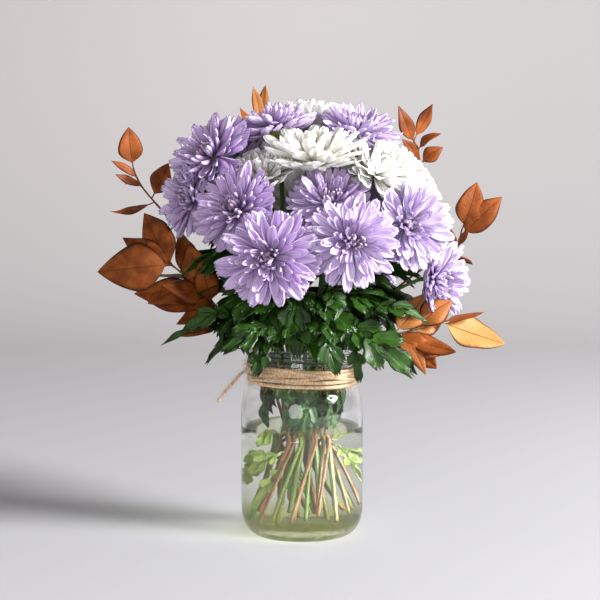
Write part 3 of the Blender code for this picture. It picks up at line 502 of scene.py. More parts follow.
class Finish(Wiring):
    """A Principled material and the nodes that its looks need."""

    def __init__(self, name, roughness=0.5):
        self.material = bpy.data.materials.new(name)
        self.material.use_nodes = True
        self.tree = self.material.node_tree
        self.shader = self.tree.nodes["Principled BSDF"]
        self.output = self.tree.nodes["Material Output"]
        self.shader.inputs["Roughness"].default_value = roughness

    def node(self, kind, **settings):
        made = self.tree.nodes.new("ShaderNode" + kind)
        for key, value in settings.items():
            setattr(made, key, value)
        return made

    def paint(self, colour):
        self.put(self.shader.inputs["Base Color"], colour)

    def value(self, name):
        """A named value carried by the mesh."""
        return self.node("Attribute", attribute_name=name).outputs["Fac"]

    def place(self, stretch=(1.0, 1.0, 1.0)):
        """Object coordinates, stretched."""
        mapping = self.node("Mapping")
        mapping.inputs["Scale"].default_value = stretch
        self.put(mapping.inputs["Vector"], self.node("TexCoord").outputs["Object"])
        return mapping.outputs["Vector"]

    def axis(self, name):
        """The X, Y or Z of the object's coordinates."""
        split = self.node("SeparateXYZ")
        self.put(split.inputs[0], self.place())
        return split.outputs[name]

    def noise(self, scale, detail=3.0, vector=None):
        made = self.node("TexNoise")
        self.put(made.inputs["Vector"], vector or self.place())
        made.inputs["Scale"].default_value = scale
        made.inputs["Detail"].default_value = detail
        made.inputs["Roughness"].default_value = NOISE_ROUGHNESS
        return made.outputs["Fac"]

    def spread(self, value, low, high, to_low=0.0, to_high=1.0):
        """Maps low..high to to_low..to_high, held at its ends."""
        made = self.node("MapRange", interpolation_type="SMOOTHSTEP")
        for socket, number in zip(made.inputs, (value, low, high, to_low, to_high)):
            self.put(socket, number)
        return made.outputs["Result"]

    def mix(self, share, first, second):
        made = self.node("Mix", data_type="RGBA")
        self.put(made.inputs["Factor"], share)
        for socket, colour in ((made.inputs[6], first), (made.inputs[7], second)):
            self.put(socket, colour if isinstance(colour, bpy.types.NodeSocket) else (*colour, 1.0))
        return made.outputs[2]

    def bump(self, height, strength, distance):
        made = self.node("Bump")
        for name, value in (("Strength", strength), ("Distance", distance), ("Height", height)):
            self.put(made.inputs[name], value)
        self.put(self.shader.inputs["Normal"], made.outputs["Normal"])
        return made.outputs["Normal"]

    def blend(self, share, first, second):
        """One surface shader for this share of another."""
        made = self.node("MixShader")
        for socket, value in zip(made.inputs, (share, first, second)):
            self.put(socket, value)
        return made.outputs["Shader"]

    def clear(self, tint):
        made = self.node("BsdfTransparent")
        made.inputs["Color"].default_value = (*tint, 1.0)
        return made.outputs["BSDF"]

    def let_light_through(self, colour, share, normal):
        """Light from behind shows through, as in a petal or a thin leaf."""
        through = self.node("BsdfTranslucent")
        self.put(through.inputs["Color"], colour)
        self.put(through.inputs["Normal"], normal)
        self.put(self.output.inputs["Surface"],
                 self.blend(share, self.shader.outputs["BSDF"], through.outputs["BSDF"]))

    def let_lamps_through(self, tint, unbent, unbent_tint):
        """Lamps shine through, where a plain clear body would throw a solid shadow.
        The unbent share of the light also passes straight on, so that the foot doesn't go black."""
        body = self.blend(unbent, self.shader.outputs["BSDF"], self.clear(unbent_tint))
        lamp_ray = self.node("LightPath").outputs["Is Shadow Ray"]
        self.put(self.output.inputs["Surface"], self.blend(lamp_ray, body, self.clear(tint)))


# ---------------------------------------------------------------- the jar's sizes
BODY_RADIUS, _, JAR_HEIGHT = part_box("glass_jar")[1]
WATER_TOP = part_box("jar_water")[1][2]
BASE_RADIUS = 0.036
NECK_RADIUS = 0.0409
RIM_RADIUS = 0.0419
BEAD_RADIUS = 0.0430
WALL = 0.0031
FLOOR_THICKNESS = 0.0060
FLOOR_DOME = [(0.0, 0.0012), (0.012, 0.0009), (0.024, 0.0003)]    # radius, and rise over the floor
HEEL_TOP = 0.022
HEEL_INSET = 0.002         # how much smaller the inner heel's radius is at the floor
SHOULDER_LOW, SHOULDER_TOP = 0.096, 0.1215
THREAD_LOW, THREAD_HIGH = 0.1449, 0.1502
THREAD_HALF = 0.00095      # half the thread's width
THREAD_PROUD = 0.0007
WATER_CREEP = 0.00012      # how far the water reaches into the glass, so that no gap shows
MENISCUS = 0.0004          # how far the water climbs its wall
MENISCUS_FADE = 0.0009     # over about this distance from the wall


# ---------------------------------------------------------------- finishes
def glass_finish():
    """Clear glass, a little green and hazy in its thick foot, with a slow ripple and faint smears."""
    glass = Finish("clear_jar_glass", 0.0)
    foot = glass.spread(glass.axis("Z"), 0.002, 0.024, 1.0, 0.0)
    glass.paint(glass.mix(foot, (0.975, 0.985, 0.975), (0.80, 0.82, 0.60)))
    glass.shader.inputs["Transmission Weight"].default_value = 1.0
    glass.shader.inputs["IOR"].default_value = 1.50
    glass.bump(glass.noise(38.0, 1.0, glass.place((1.0, 1.0, 0.6))), 0.25, 0.0006)
    smear = glass.spread(glass.noise(60.0, 4.0), 0.45, 0.75, 0.0, 0.035)
    glass.put(glass.shader.inputs["Roughness"], smear)
    glass.let_lamps_through((0.93, 0.94, 0.935), glass.times(foot, 0.32), (0.86, 0.88, 0.72))
    return glass.material


def water_finish():
    """Water that the stems have tinted, most of all where it has settled at the foot."""
    water = Finish("still_water", 0.0)
    water.shader.inputs["Transmission Weight"].default_value = 1.0
    water.shader.inputs["IOR"].default_value = 1.33
    height = water.axis("Z")
    settled = water.spread(height, 0.004, 0.034, 1.0, 0.0)
    clear = water.mix(water.noise(22.0, 2.0), (0.84, 0.86, 0.74), (0.88, 0.90, 0.81))
    water.paint(water.mix(settled, clear, (0.52, 0.54, 0.22)))
    water.bump(water.noise(30.0, 1.0), 0.08, 0.0005)
    brim = water.spread(height, WATER_TOP - 0.003, WATER_TOP - 0.0005)
    unbent = water.math("MAXIMUM", water.times(settled, 0.35), water.times(brim, 0.65))
    water.let_lamps_through((0.97, 0.975, 0.94), unbent, (0.84, 0.87, 0.66))
    return water.material


def petal_finish(name, deep, middle, pale, heart, heart_tip, through, streaked):
    """Petals: deep at the base, pale at tips and edges, with fine lengthwise streaks, and paler by a tone that also
    carries painted window light on heads nearer the lamp.
    """
    petal = Finish(name, 0.60)
    along, across, age, tone = (petal.value(key) for key in ("along", "across", "age", "tone"))
    streak_place = petal.node("CombineXYZ")
    for socket, value, scale in zip(streak_place.inputs, (across, along, tone), (4.2, 0.55, 40.0)):
        petal.put(socket, petal.times(value, scale))
    streaks = petal.noise(2.6, 3.0, streak_place.outputs["Vector"])
    from_base = petal.spread(along, 0.10, 0.72)
    body = petal.mix(from_base, deep, middle)
    tip = petal.spread(along, 0.55, 1.0)
    edge = petal.spread(petal.math("ABSOLUTE", across), 0.50, 0.95, 0.0, 0.85)
    body = petal.mix(petal.math("MAXIMUM", petal.times(tip, 0.8), edge), body, pale)
    body = petal.mix(petal.spread(streaks, 0.38, 0.70, 0.0, streaked), body, deep)
    # partly painted shade: heart florets run from the heart colour at their bases to the tip colour; the lilac
    # heads' dark base is partly their own deep colour and partly painted shade in the gaps between florets
    centre = petal.mix(petal.spread(along, 0.35, 0.95), heart, heart_tip)
    body = petal.mix(petal.spread(age, 0.20, 0.52), centre, body)
    # painted light: the tone is random per floret, and is raised on heads nearer the window lamp, which paints them
    # paler as if more brightly lit
    toned_with_painted_light = petal.mix(petal.spread(tone, 0.0, 2.0, 0.0, 0.85), body, pale)
    petal.paint(toned_with_painted_light)
    petal.shader.inputs["Sheen Weight"].default_value = 0.15
    ridge = petal.math("SINE", petal.times(across, 14.0))
    normal = petal.bump(petal.plus(ridge, petal.times(streaks, 2.0)), 0.5, 0.00022)
    petal.let_light_through(toned_with_painted_light, through, normal)
    return petal.material


def stem_finish():
    """Ribbed stems: green above, brown and softened under water by the piece's own tone."""
    stem = Finish("cut_stem", 0.45)
    tone, around = stem.value("tone"), stem.value("around")
    grain = stem.noise(160.0, 4.0, stem.place((1.0, 1.0, 0.12)))
    blotch = stem.noise(70.0, 3.0)
    steeped = stem.spread(stem.axis("Z"), 0.085, 0.13, 1.0, 0.0)
    fresh = stem.mix(grain, (0.022, 0.062, 0.009), (0.085, 0.16, 0.032))
    pale = stem.mix(grain, (0.042, 0.086, 0.009), (0.125, 0.185, 0.034))
    green = stem.mix(steeped, fresh, pale)
    brown = stem.mix(grain, (0.060, 0.018, 0.008), (0.195, 0.070, 0.028))
    share = stem.math("ADD", tone, stem.spread(blotch, 0.35, 0.65, -0.15, 0.15), clamp=True)
    colour = stem.mix(share, green, brown)
    cut = stem.spread(stem.value("pith"), 0.3, 0.7)
    stem.paint(stem.mix(cut, colour, (0.62, 0.56, 0.36)))
    ribs = stem.math("SINE", stem.times(around, 8.0))
    stem.bump(stem.plus(ribs, stem.times(grain, 2.0)), 0.5, 0.0002)
    return stem.material


def leaf_finish(name, dark, light, vein, roughness, through, dry=0.0):
    """A leaf with a midrib, side veins and mottling, from its own along and across values."""
    leaf = Finish(name, roughness)
    leaf.shader.inputs["Specular IOR Level"].default_value = 0.25 if dry else 0.55
    along, across, tone = (leaf.value(key) for key in ("along", "across", "tone"))
    off_middle = leaf.math("ABSOLUTE", across)
    mottle = leaf.noise(95.0, 4.0)
    fine = leaf.noise(420.0, 2.0)
    colour = leaf.mix(leaf.spread(mottle, 0.3, 0.7), dark, light)
    colour = leaf.mix(leaf.spread(tone, 0.0, 1.0, 0.0, 0.85), colour, light)
    if dry:
        colour = leaf.mix(leaf.spread(tone, 0.80, 1.0, 0.0, 0.80), colour, (0.58, 0.28, 0.09))
    slant = leaf.math("SUBTRACT", leaf.times(along, 8.0 + 3.0 * dry),
                      leaf.times(off_middle, 2.2))
    wave = leaf.math("ABSOLUTE", leaf.math("SUBTRACT", leaf.math("FRACT", slant), 0.5))
    side_vein = leaf.spread(wave, 0.0, 0.09, 1.0, 0.0)
    midrib = leaf.spread(off_middle, 0.015, 0.07, 1.0, 0.0)
    veins = leaf.math("MAXIMUM", leaf.times(side_vein, 0.55), midrib)
    colour = leaf.mix(leaf.times(veins, 0.65), colour, vein)
    if dry:
        edge = leaf.spread(leaf.plus(off_middle, leaf.times(fine, 0.3)), 0.85, 1.2)
        colour = leaf.mix(leaf.times(edge, 0.6), colour, tuple(0.45 * part for part in dark))
    leaf.paint(colour)
    relief = leaf.plus(leaf.times(veins, -1.0), leaf.times(mottle, 0.8 + dry))
    normal = leaf.bump(leaf.plus(relief, leaf.times(fine, 0.25)), 0.55, 0.0004)
    leaf.let_light_through(colour, through, normal)
    return leaf.material


def twine_finish():
    twine = Finish("jute_twine", 0.85)
    strand = twine.noise(900.0, 3.0, twine.place((1.0, 1.0, 0.35)))
    tuft = twine.noise(140.0, 4.0)
    pale, dark = (0.84, 0.62, 0.40), (0.40, 0.25, 0.12)
    colour = twine.mix(twine.spread(strand, 0.3, 0.7), dark, pale)
    colour = twine.mix(twine.spread(tuft, 0.35, 0.7, 0.0, 0.5), colour, (0.53, 0.37, 0.21))
    twine.paint(colour)
    twine.shader.inputs["Sheen Weight"].default_value = 0.3
    twine.bump(strand, 0.6, 0.0003)
    return twine.material


# The lilac heart colour, nearly black violet, is partly the young florets' own deep colour and partly painted shade
# for the gaps between them.
LILAC = petal_finish("lilac_petal", (0.345, 0.155, 0.45), (0.74, 0.56, 0.85), (0.82, 0.73, 0.925),
                     (0.060, 0.008, 0.05), (0.62, 0.42, 0.62), 0.42, 0.72)
WHITE = petal_finish("white_petal", (0.88, 0.87, 0.72), (0.96, 0.955, 0.92), (0.97, 0.965, 0.95),
                     (0.86, 0.87, 0.60), (0.96, 0.95, 0.86), 0.48, 0.12)
GLASS = glass_finish()
WATER = water_finish()
STEM = stem_finish()
GREEN = leaf_finish("green_leaf", (0.003, 0.016, 0.0008), (0.023, 0.078, 0.004), (0.065, 0.13, 0.02),
                    0.40, 0.18)
SUNK = leaf_finish("sunk_leaf", (0.07, 0.12, 0.015), (0.21, 0.27, 0.05), (0.30, 0.34, 0.12), 0.42, 0.35)
COPPER = leaf_finish("copper_leaf", (0.088, 0.016, 0.003), (0.29, 0.073, 0.011), (0.07, 0.018, 0.006),
                     0.50, 0.18, 1.0)
BRACT = leaf_finish("bract", (0.07, 0.11, 0.012), (0.27, 0.30, 0.04), (0.34, 0.35, 0.10), 0.45, 0.20)
TWINE = twine_finish()


# ---------------------------------------------------------------- the jar and the water
def arc(centre_r, centre_z, wide, high, start, stop, steps):
    """Points of a profile on a quarter or so of an ellipse, between two angles in degrees."""
    turn = np.radians(np.linspace(start, stop, steps + 1))
    return list(zip(centre_r + wide * np.cos(turn), centre_z + high * np.sin(turn)))


def inner_radius(height):
    """The glass's inner radius at a height on the straight side or the heel."""
    full = BODY_RADIUS - WALL
    if height >= HEEL_TOP:
        return full
    share = (HEEL_TOP - height) / (HEEL_TOP - FLOOR_THICKNESS - 0.0002)
    return BASE_RADIUS - HEEL_INSET + (full - BASE_RADIUS + HEEL_INSET) * math.sqrt(max(0.0, 1.0 - share**2))


def thread(height, turn, radius):
    """A raised helix of two laps round the finish under the rim, on the outer side only."""
    pitch = THREAD_HIGH - THREAD_LOW - 0.0016
    outer = radius > RIM_RADIUS - 0.0004
    reach = np.zeros(np.broadcast_shapes(height.shape, turn.shape))
    for lap in (0, 1):
        gone = turn / math.tau + lap
        centre = THREAD_LOW + 0.0008 + pitch * (gone - 0.5)
        fade = np.clip(gone * 4, 0, 1) * np.clip((2 - gone) * 4, 0, 1)
        reach = np.maximum(reach, fade * np.clip(1 - ((height - centre) / THREAD_HALF)**2, 0, 1))
    return np.where(outer & (height > THREAD_LOW - 0.001) & (height < JAR_HEIGHT - 0.0012),
                    reach * THREAD_PROUD, 0.0)


def make_jar():
    """The jar's outline, from the middle of its floor up inside, over the rim and down outside."""
    full, neck = BODY_RADIUS - WALL, NECK_RADIUS - WALL
    inside = [(radius, FLOOR_THICKNESS + rise) for radius, rise in FLOOR_DOME]
    inside += arc(BASE_RADIUS - HEEL_INSET, HEEL_TOP, full - BASE_RADIUS + HEEL_INSET,
                  HEEL_TOP - FLOOR_THICKNESS, -88, 0, 12)
    inside += [(full, z) for z in np.linspace(HEEL_TOP, SHOULDER_LOW, 8)[1:-1]]
    inside += arc(neck + 0.002, SHOULDER_LOW, full - neck - 0.002, SHOULDER_TOP - SHOULDER_LOW - 0.0025, 0, 78, 12)
    inside += [(neck + 0.0006, SHOULDER_TOP + 0.0005), (neck, SHOULDER_TOP + 0.003), (neck, 0.136),
               (neck, JAR_HEIGHT - 0.002)]
    rim = arc(RIM_RADIUS - 0.0021, JAR_HEIGHT - 0.0017, 0.0021, 0.0017, 165, 15, 7)
    finish = [(RIM_RADIUS, z) for z in np.linspace(JAR_HEIGHT - 0.0021, THREAD_LOW - 0.0003, 16)]
    bead = arc(BEAD_RADIUS - 0.0014, 0.14195, 0.0014, 0.00165, 75, -60, 7)
    outside = [(NECK_RADIUS + 0.0002, 0.1395), (NECK_RADIUS, 0.1375), (NECK_RADIUS, 0.127),
               (NECK_RADIUS + 0.0002, SHOULDER_TOP + 0.0022)]
    outside += arc(NECK_RADIUS + 0.0015, SHOULDER_LOW, BODY_RADIUS - NECK_RADIUS - 0.0015,
                   SHOULDER_TOP - SHOULDER_LOW, 80, 0, 14)
    outside += [(BODY_RADIUS, z) for z in np.linspace(SHOULDER_LOW, HEEL_TOP, 10)[1:-1]]
    outside += arc(BASE_RADIUS, HEEL_TOP, BODY_RADIUS - BASE_RADIUS, HEEL_TOP, 0, -88, 14)
    base = [(BASE_RADIUS - 0.001, 0.0), (BASE_RADIUS - 0.003, 0.0), (BASE_RADIUS - 0.005, 0.0006),
            (0.024, 0.0008), (0.012, 0.0009), (0.0, 0.0009)]
    points, faces = turned_form(inside + rim + finish + bead + outside + base, 112, thread)
    stand_in(piece_mesh("jar_of_clear_glass", points, faces, [GLASS]), "glass", "glass_jar")


def make_water():
    """The water reaches a hair into the glass, and climbs its wall a little at the top."""
    full = BODY_RADIUS - WALL
    bottom = [(radius, FLOOR_THICKNESS + rise - WATER_CREEP) for radius, rise in FLOOR_DOME + [(0.031, 0.0)]]
    wall = [(inner_radius(z) + WATER_CREEP, z) for z in np.linspace(FLOOR_THICKNESS + 0.0005, HEEL_TOP, 16)]
    wall += [(full + WATER_CREEP, z) for z in np.linspace(HEEL_TOP, WATER_TOP + MENISCUS, 10)[1:]]
    climb = [(full - reach, WATER_TOP + MENISCUS * math.exp(-reach / MENISCUS_FADE))
             for reach in (0.0003, 0.0008, 0.0014, 0.0022, 0.0034, 0.006)]
    top = [(0.03, WATER_TOP), (0.015, WATER_TOP), (0.0, WATER_TOP)]
    points, faces = turned_form((bottom + wall + climb + top)[::-1], 96)
    stand_in(piece_mesh("water_in_jar", points, faces, [WATER]), "water", "jar_water")


# ---------------------------------------------------------------- stems and twigs
STEM_SLIMNESS = (0.92, 0.70, 0.82, 0.98, 0.74)
KNUCKLE_GAP = 0.031        # along a stem, from one knuckle to the next
BROWN_BELOW = 0.150        # a woody stem starts to brown here, and is brown 50 mm further down


def make_stems(stems):
    """Ribbed stems with knuckles, each a little wider where it enters its head."""
    random = np.random.default_rng(11)
    for index, (name, _, _, azimuth, elevation, _, _) in enumerate(BLOOMS):
        into_head = stems[name][-1] + toward(azimuth, elevation) * 0.0016
        path = evenly(np.concatenate([stems[name], [into_head]]), 120)
        reach = np.linalg.norm(path - path[0], axis=1)
        knuckle = np.exp(-((reach % KNUCKLE_GAP - 0.015) / 0.0022)**2)
        slim = STEM_SLIMNESS[index % 5]
        radii = STEM_RADIUS * (slim + 0.15 * knuckle + 0.04 * np.sin(reach * 160 + index))
        radii[-10:] *= np.linspace(1.0, 1.25, 10)
        points, faces, _, around = tube_form(path, radii, 12, 6, 0.05)
        woody = random.uniform(0.25, 1.0) if index % 3 else random.uniform(0.0, 0.25)
        tone = woody * np.clip((BROWN_BELOW - points[:, 2]) / 0.05, 0.0, 1.0)
        pith = np.where(np.arange(len(points)) == len(points) - 2, 1.0, 0.0)    # only the cut end's middle
        node = name.replace("bloom", "stem")
        values = {"tone": tone, "around": around, "pith": pith}
        stand_in(piece_mesh(node + "_ribbed", points, faces, [STEM], values), "stem", node)


# How light each leaf of a spray is, from its first to its last, with the smaller leaves after the rest.
COPPER_TONES = {
    "copper_spray_1": (0.55, 0.62, 0.35, 0.10, 0.02, 0.1),
    "copper_spray_2": (0.42, 0.18, 0.22, 0.28, 0.05, 0.1, 0.3, 0.05, 0.2, 0.25, 0.1, 0.15, 0.3),
    "copper_spray_3": (0.45, 0.30, 0.60, 0.70, 0.4, 0.3, 0.2),
    "copper_spray_4": (0.50, 0.50, 0.30, 0.40, 0.3, 0.3),
    "copper_spray_5": (0.97, 0.60, 0.35, 0.90, 0.50, 0.85, 0.2, 0.86, 0.6, 0.9),
    "copper_spray_6": (0.9, 0.90, 0.60, 0.5, 0.5, 0.5),
}

# Smaller leaves that fill the sprays, each snapped to its twig.
MORE_COPPER = {
    "copper_spray_1": [((-0.1270, 0.0, 0.2790), (-0.1480, -0.010, 0.2900), 0.0085, 0.002, -120, 40)],
    "copper_spray_2": [
        ((-0.100, -0.010, 0.2160), (-0.1440, 0.004, 0.2390), 0.0200, 0.003, -110, 40),
        ((-0.070, -0.007, 0.1880), (-0.1330, -0.020, 0.1960), 0.0280, 0.005, -100, 30),
        ((-0.064, -0.006, 0.1800), (-0.0960, -0.038, 0.1640), 0.0170, 0.003, -95, 25),
        ((-0.088, -0.009, 0.2040), (-0.0990, 0.012, 0.2420), 0.0180, 0.002, -100, 0),
        ((-0.074, -0.007, 0.1920), (-0.1100, -0.034, 0.2040), 0.0220, 0.003, -95, 40),
        ((-0.078, -0.008, 0.1960), (-0.0900, -0.004, 0.2340), 0.0230, 0.002, -95, 10),
        ((-0.070, -0.007, 0.1880), (-0.0780, -0.026, 0.2200), 0.0200, 0.002, -95, 15),
        ((-0.064, -0.006, 0.1800), (-0.0860, -0.030, 0.1860), 0.0200, 0.002, -95, 35)],
    "copper_spray_3": [
        ((0.0975, 0.0555, 0.3000), (0.0820, 0.040, 0.3180), 0.0100, 0.002, -90, 10),
        ((0.0985, 0.0565, 0.2920), (0.0790, 0.050, 0.3030), 0.0110, 0.002, -90, 20)],
    "copper_spray_4": [((0.1250, 0.0090, 0.2320), (0.1330, -0.006, 0.2480), 0.0055, 0.002, -80, 10)],
    "copper_spray_5": [
        ((0.0780, -0.0356, 0.1672), (0.0960, -0.050, 0.1360), 0.0120, 0.002, -95, 15),
        ((0.0600, -0.0360, 0.1650), (0.0860, -0.040, 0.1560), 0.0130, 0.002, -95, 30),
        ((0.0900, -0.0360, 0.1700), (0.1180, -0.030, 0.1920), 0.0210, 0.002, -100, 20),
        ((0.0700, -0.0360, 0.1660), (0.1080, -0.044, 0.1500), 0.0200, 0.002, -95, 25),
        ((0.0820, -0.0360, 0.1690), (0.1120, -0.020, 0.1760), 0.0200, 0.002, -100, 20)],
    "copper_spray_6": [],
}


def leaf_axes(leaf):
    """A leaf's base, its run to the tip, that run's length, and its ahead, side and up directions."""
    base, tip, _, _, azimuth, elevation = leaf
    run = np.array(tip) - np.array(base)
    length = np.linalg.norm(run)
    side = unit(np.cross(run, toward(azimuth, elevation)))
    return np.array(base), run, length, run / length, side, np.cross(side, run / length)


def oval_blade(leaf, curl, seed):
    """A pointed oval leaf with a stalk, a sunken midrib and a waved, slightly curled edge."""
    base, run, length, _, side, up = leaf_axes(leaf)
    width, droop = leaf[2:4]
    random = np.random.default_rng(seed)
    phase, sway = random.uniform(0, math.tau, 3), random.uniform(-0.05, 0.05)
    stalk = min(0.16, 0.006 / length)

    def place(t, u, skin):
        blade = np.clip((t - stalk) / (1 - stalk), 0.0, 1.0)
        shape = np.sin(math.pi * blade**0.80) ** 0.80 * (1 - 0.25 * blade**3)
        half = np.maximum(width * 0.55 * shape * (1 + 0.03 * np.sin(13 * t + phase[0])), 0.00055)
        half = np.where(t > 0.999, 0.00012, half)
        middle = (base + run * t[..., None] + up * (droop * 4 * t * (1 - t))[..., None]
                  + side * (sway * length * np.sin(math.pi * t))[..., None])
        lift = half * (0.30 * np.abs(u) ** 1.5 - curl * np.abs(u) ** 3 * (0.4 + t))
        lift = lift + half * 0.10 * np.abs(u) * np.sin(9 * t + phase[1] + 1.5 * np.sign(u))
        lift = lift - 0.0002 * np.exp(-(u / 0.12)**2) + 0.0006 * np.sin(5 * t + phase[2])
        thick = 0.00017 * (1 - u**2) * (t > 0) * (t < 1) + 0.0004 * np.exp(-(u / 0.15)**2) * (1 - t) * (t > 0)
        return middle + side * (u * half)[..., None] + up * (lift + skin * thick)[..., None]

    return blade_form(22, 10, place)


def make_sprays(routes):
    """Twigs that thin toward their ends, with a bud at each of fourteen steps, and their leaves."""
    for index, (name, azimuth, _, leaves) in enumerate(SPRAYS, len(BLOOMS)):
        path = from_foot("twig", azimuth, index, routes[name], 50, 150)
        share = np.linspace(0, 1, len(path))
        bud = np.exp(-((share * 14 % 1.0 - 0.5) / 0.10)**2)
        radii = TWIG_RADIUS * (1.0 - 0.45 * share**2) * (0.95 + 0.25 * bud)
        thinned = np.interp(np.linspace(0, 1, 110), share, radii)
        points, faces, along, around = tube_form(evenly(path, 110), thinned, 9)
        shape = Shape()
        shape.add(points, faces, 0, tone=0.85, around=around, pith=0.0, along=along, across=0.0)
        for number, (leaf, tone) in enumerate(zip(leaves + MORE_COPPER[name], COPPER_TONES[name])):
            base = path[np.linalg.norm(path - leaf[0], axis=1).argmin()]
            curl = 0.25 + 0.2 * (number % 2)
            points, faces, along, across = oval_blade((base, *leaf[1:]), curl, 50 * index + number)
            shape.add(points, faces, 1, tone=tone, around=0.0, pith=0.0, along=along, across=across)
        stand_in(shape.build(name + "_leaves", [STEM, COPPER]), "copper_leaf", name)


# ---------------------------------------------------------------- green leaves
# The lobes of a leaf: where each leaves the midrib, as a share of the leaf's length, its angle to
# it, and its length and breadth in leaf widths. A length of 0 runs to the tip of the leaf.
LOBES = [(0.02, 0, 0.95, 0.30), (0.42, 0, 0.0, 0.47), (0.17, 60, 0.43, 0.34), (0.17, -60, 0.43, 0.34),
         (0.36, 46, 0.62, 0.42), (0.40, -46, 0.62, 0.42)]
LOBE_WIDEST = 0.66         # along a lobe, where it starts to round off


def lobed_blade(leaf, stalk_from, seed):
    """A chrysanthemum leaf: two pairs of blunt, toothed side lobes and a longer end lobe, on a stalk."""
    base, run, length, ahead, side, up = leaf_axes(leaf)
    width, droop = 1.1 * leaf[2], leaf[3]
    random = np.random.default_rng(seed)
    bow, wave = random.uniform(-0.30, 0.30), random.uniform(0, math.tau)
    points, faces, along, across = [], [], [], []
    for layer, (start, angle, reach, breadth) in enumerate(LOBES):
        turn = math.radians(angle + random.uniform(-7, 7) * (angle != 0))
        long = reach * width * random.uniform(0.88, 1.10) if reach else (1 - start) * length
        phase = random.uniform(0, math.tau)

        def place(t, u, skin):
            end = np.sqrt(np.clip(1 - (np.clip(t - LOBE_WIDEST, 0, 1) / 0.39)**2.4, 0, 1))
            half = breadth * width / 2 * (0.44 + 0.56 * np.clip(t / LOBE_WIDEST, 0, 1)) * end
            half = half * (1 + 0.13 * np.sin(13 * t + phase) * (t > 0.2))
            teeth = 0.07 * (np.cos(3 * math.pi * u) + 1) * np.clip((t - LOBE_WIDEST) / 0.3, 0, 1)
            out = long * (t + teeth)
            bent = turn * (1 - 0.35 * t)
            s = start * length + out * np.cos(bent) - u * half * np.sin(bent)
            v = out * np.sin(bent) + u * half * np.cos(bent)
            share = s / length
            lift = droop * 4 * share * (1 - share) - 0.06 * length * np.clip(share, 0, 2)**3
            lift = lift + 0.34 * np.abs(v) - 0.55 * v**2 / width + 0.0012 * np.sin(170 * s + wave + 2 * np.sign(v))
            lift = lift + 0.30 * half * (np.abs(u) - 0.5) + 0.00022 * layer
            thick = 0.00016 * (1 - u**2) * (t > 0) * (t < 1)
            middle = base + ahead * s[..., None] + side * (v + bow * width * share * (1 - share))[..., None]
            return middle + up * (lift + skin * thick)[..., None]

        made = blade_form(9, 6, place)
        offset = sum(len(block) for block in points)
        points.append(made[0])
        faces += [tuple(offset + corner for corner in face) for face in made[1]]
        along.append(made[2])
        across.append(made[3])
    reach = np.linspace(0, 1, 8)[:, None]
    start = np.array(stalk_from)
    sag = up * 0.002 * np.sin(math.pi * reach)
    stalk = tube_form(start + (base + run * 0.06 - start) * reach + sag, np.linspace(0.00075, 0.00045, 8), 6)
    return (np.concatenate(points), faces, np.concatenate(along), np.concatenate(across)), stalk


def add_leaf(shape, leaf, stems, seed, tone, stalk_tone, fit=np.asarray):
    """Adds a lobed leaf and its stalk from the nearest stem to a shape."""
    blade, stalk = lobed_blade(leaf, stalk_start(leaf[0], stems), seed)
    shape.add(fit(blade[0]), blade[1], along=blade[2], across=blade[3], tone=tone)
    shape.add(fit(stalk[0]), stalk[1], along=0.1, across=0.0, tone=stalk_tone)


# Rings of leaves round the collar: how many, heights of base and tip, how far out they start and
# end, width, the azimuth of the first and the arc that they share.
COLLAR_RINGS = [
    (12, 0.166, 0.150, 0.030, 0.078, 0.032, 10.0, 360.0),
    (14, 0.180, 0.170, 0.036, 0.090, 0.036, 25.0, 360.0),
    (15, 0.197, 0.190, 0.038, 0.094, 0.038, 0.0, 360.0),
    (14, 0.213, 0.210, 0.036, 0.090, 0.038, 17.0, 360.0),
    (12, 0.226, 0.232, 0.030, 0.082, 0.036, 9.0, 360.0),
    (9, 0.242, 0.250, 0.020, 0.064, 0.032, 5.0, 360.0),
    (9, 0.200, 0.168, 0.052, 0.072, 0.030, -158.0, 150.0),
    (8, 0.186, 0.157, 0.046, 0.066, 0.027, -150.0, 136.0),
    (7, 0.196, 0.166, 0.052, 0.074, 0.034, 30.0, 140.0),
    (9, 0.224, 0.216, 0.040, 0.090, 0.038, 150.0, 80.0),
    (6, 0.246, 0.244, 0.040, 0.080, 0.034, 155.0, 70.0),
]
FLATTENED = 0.86           # the collar's depth, as a share of its width


def make_green_leaves(stems):
    random = np.random.default_rng(23)
    for number, (name, *leaf) in enumerate(LEAVES):
        shape = Shape()
        add_leaf(shape, leaf, stems, number, random.uniform(0.1, 0.6), 0.6)
        stand_in(shape.build(name + "_lobed", [GREEN]), "green_leaf", name)
    shape = Shape()
    for ring, (count, low, high, near, far, width, first, arc_shared) in enumerate(COLLAR_RINGS):
        for number in range(count):
            turn = first + arc_shared * number / count + random.uniform(-9, 9)
            out = np.array([math.cos(math.radians(turn)), FLATTENED * math.sin(math.radians(turn)), 0.0])
            drop = random.uniform(-0.010, 0.008)
            end = out * far * random.uniform(0.84, 1.06)
            leaf = (out * near + (0, 0, low + drop * 0.3), end + (0, 0, high + drop),
                    width * random.uniform(0.8, 1.1), 0.004,
                    turn + random.uniform(-35, 35), random.uniform(35, 75))
            tone = random.uniform(0.0, 0.45)
            add_leaf(shape, leaf, stems, 100 + 40 * ring + number, tone, tone)
    stand_in(shape.build("green_leaves_between", [GREEN]), "green_leaf")


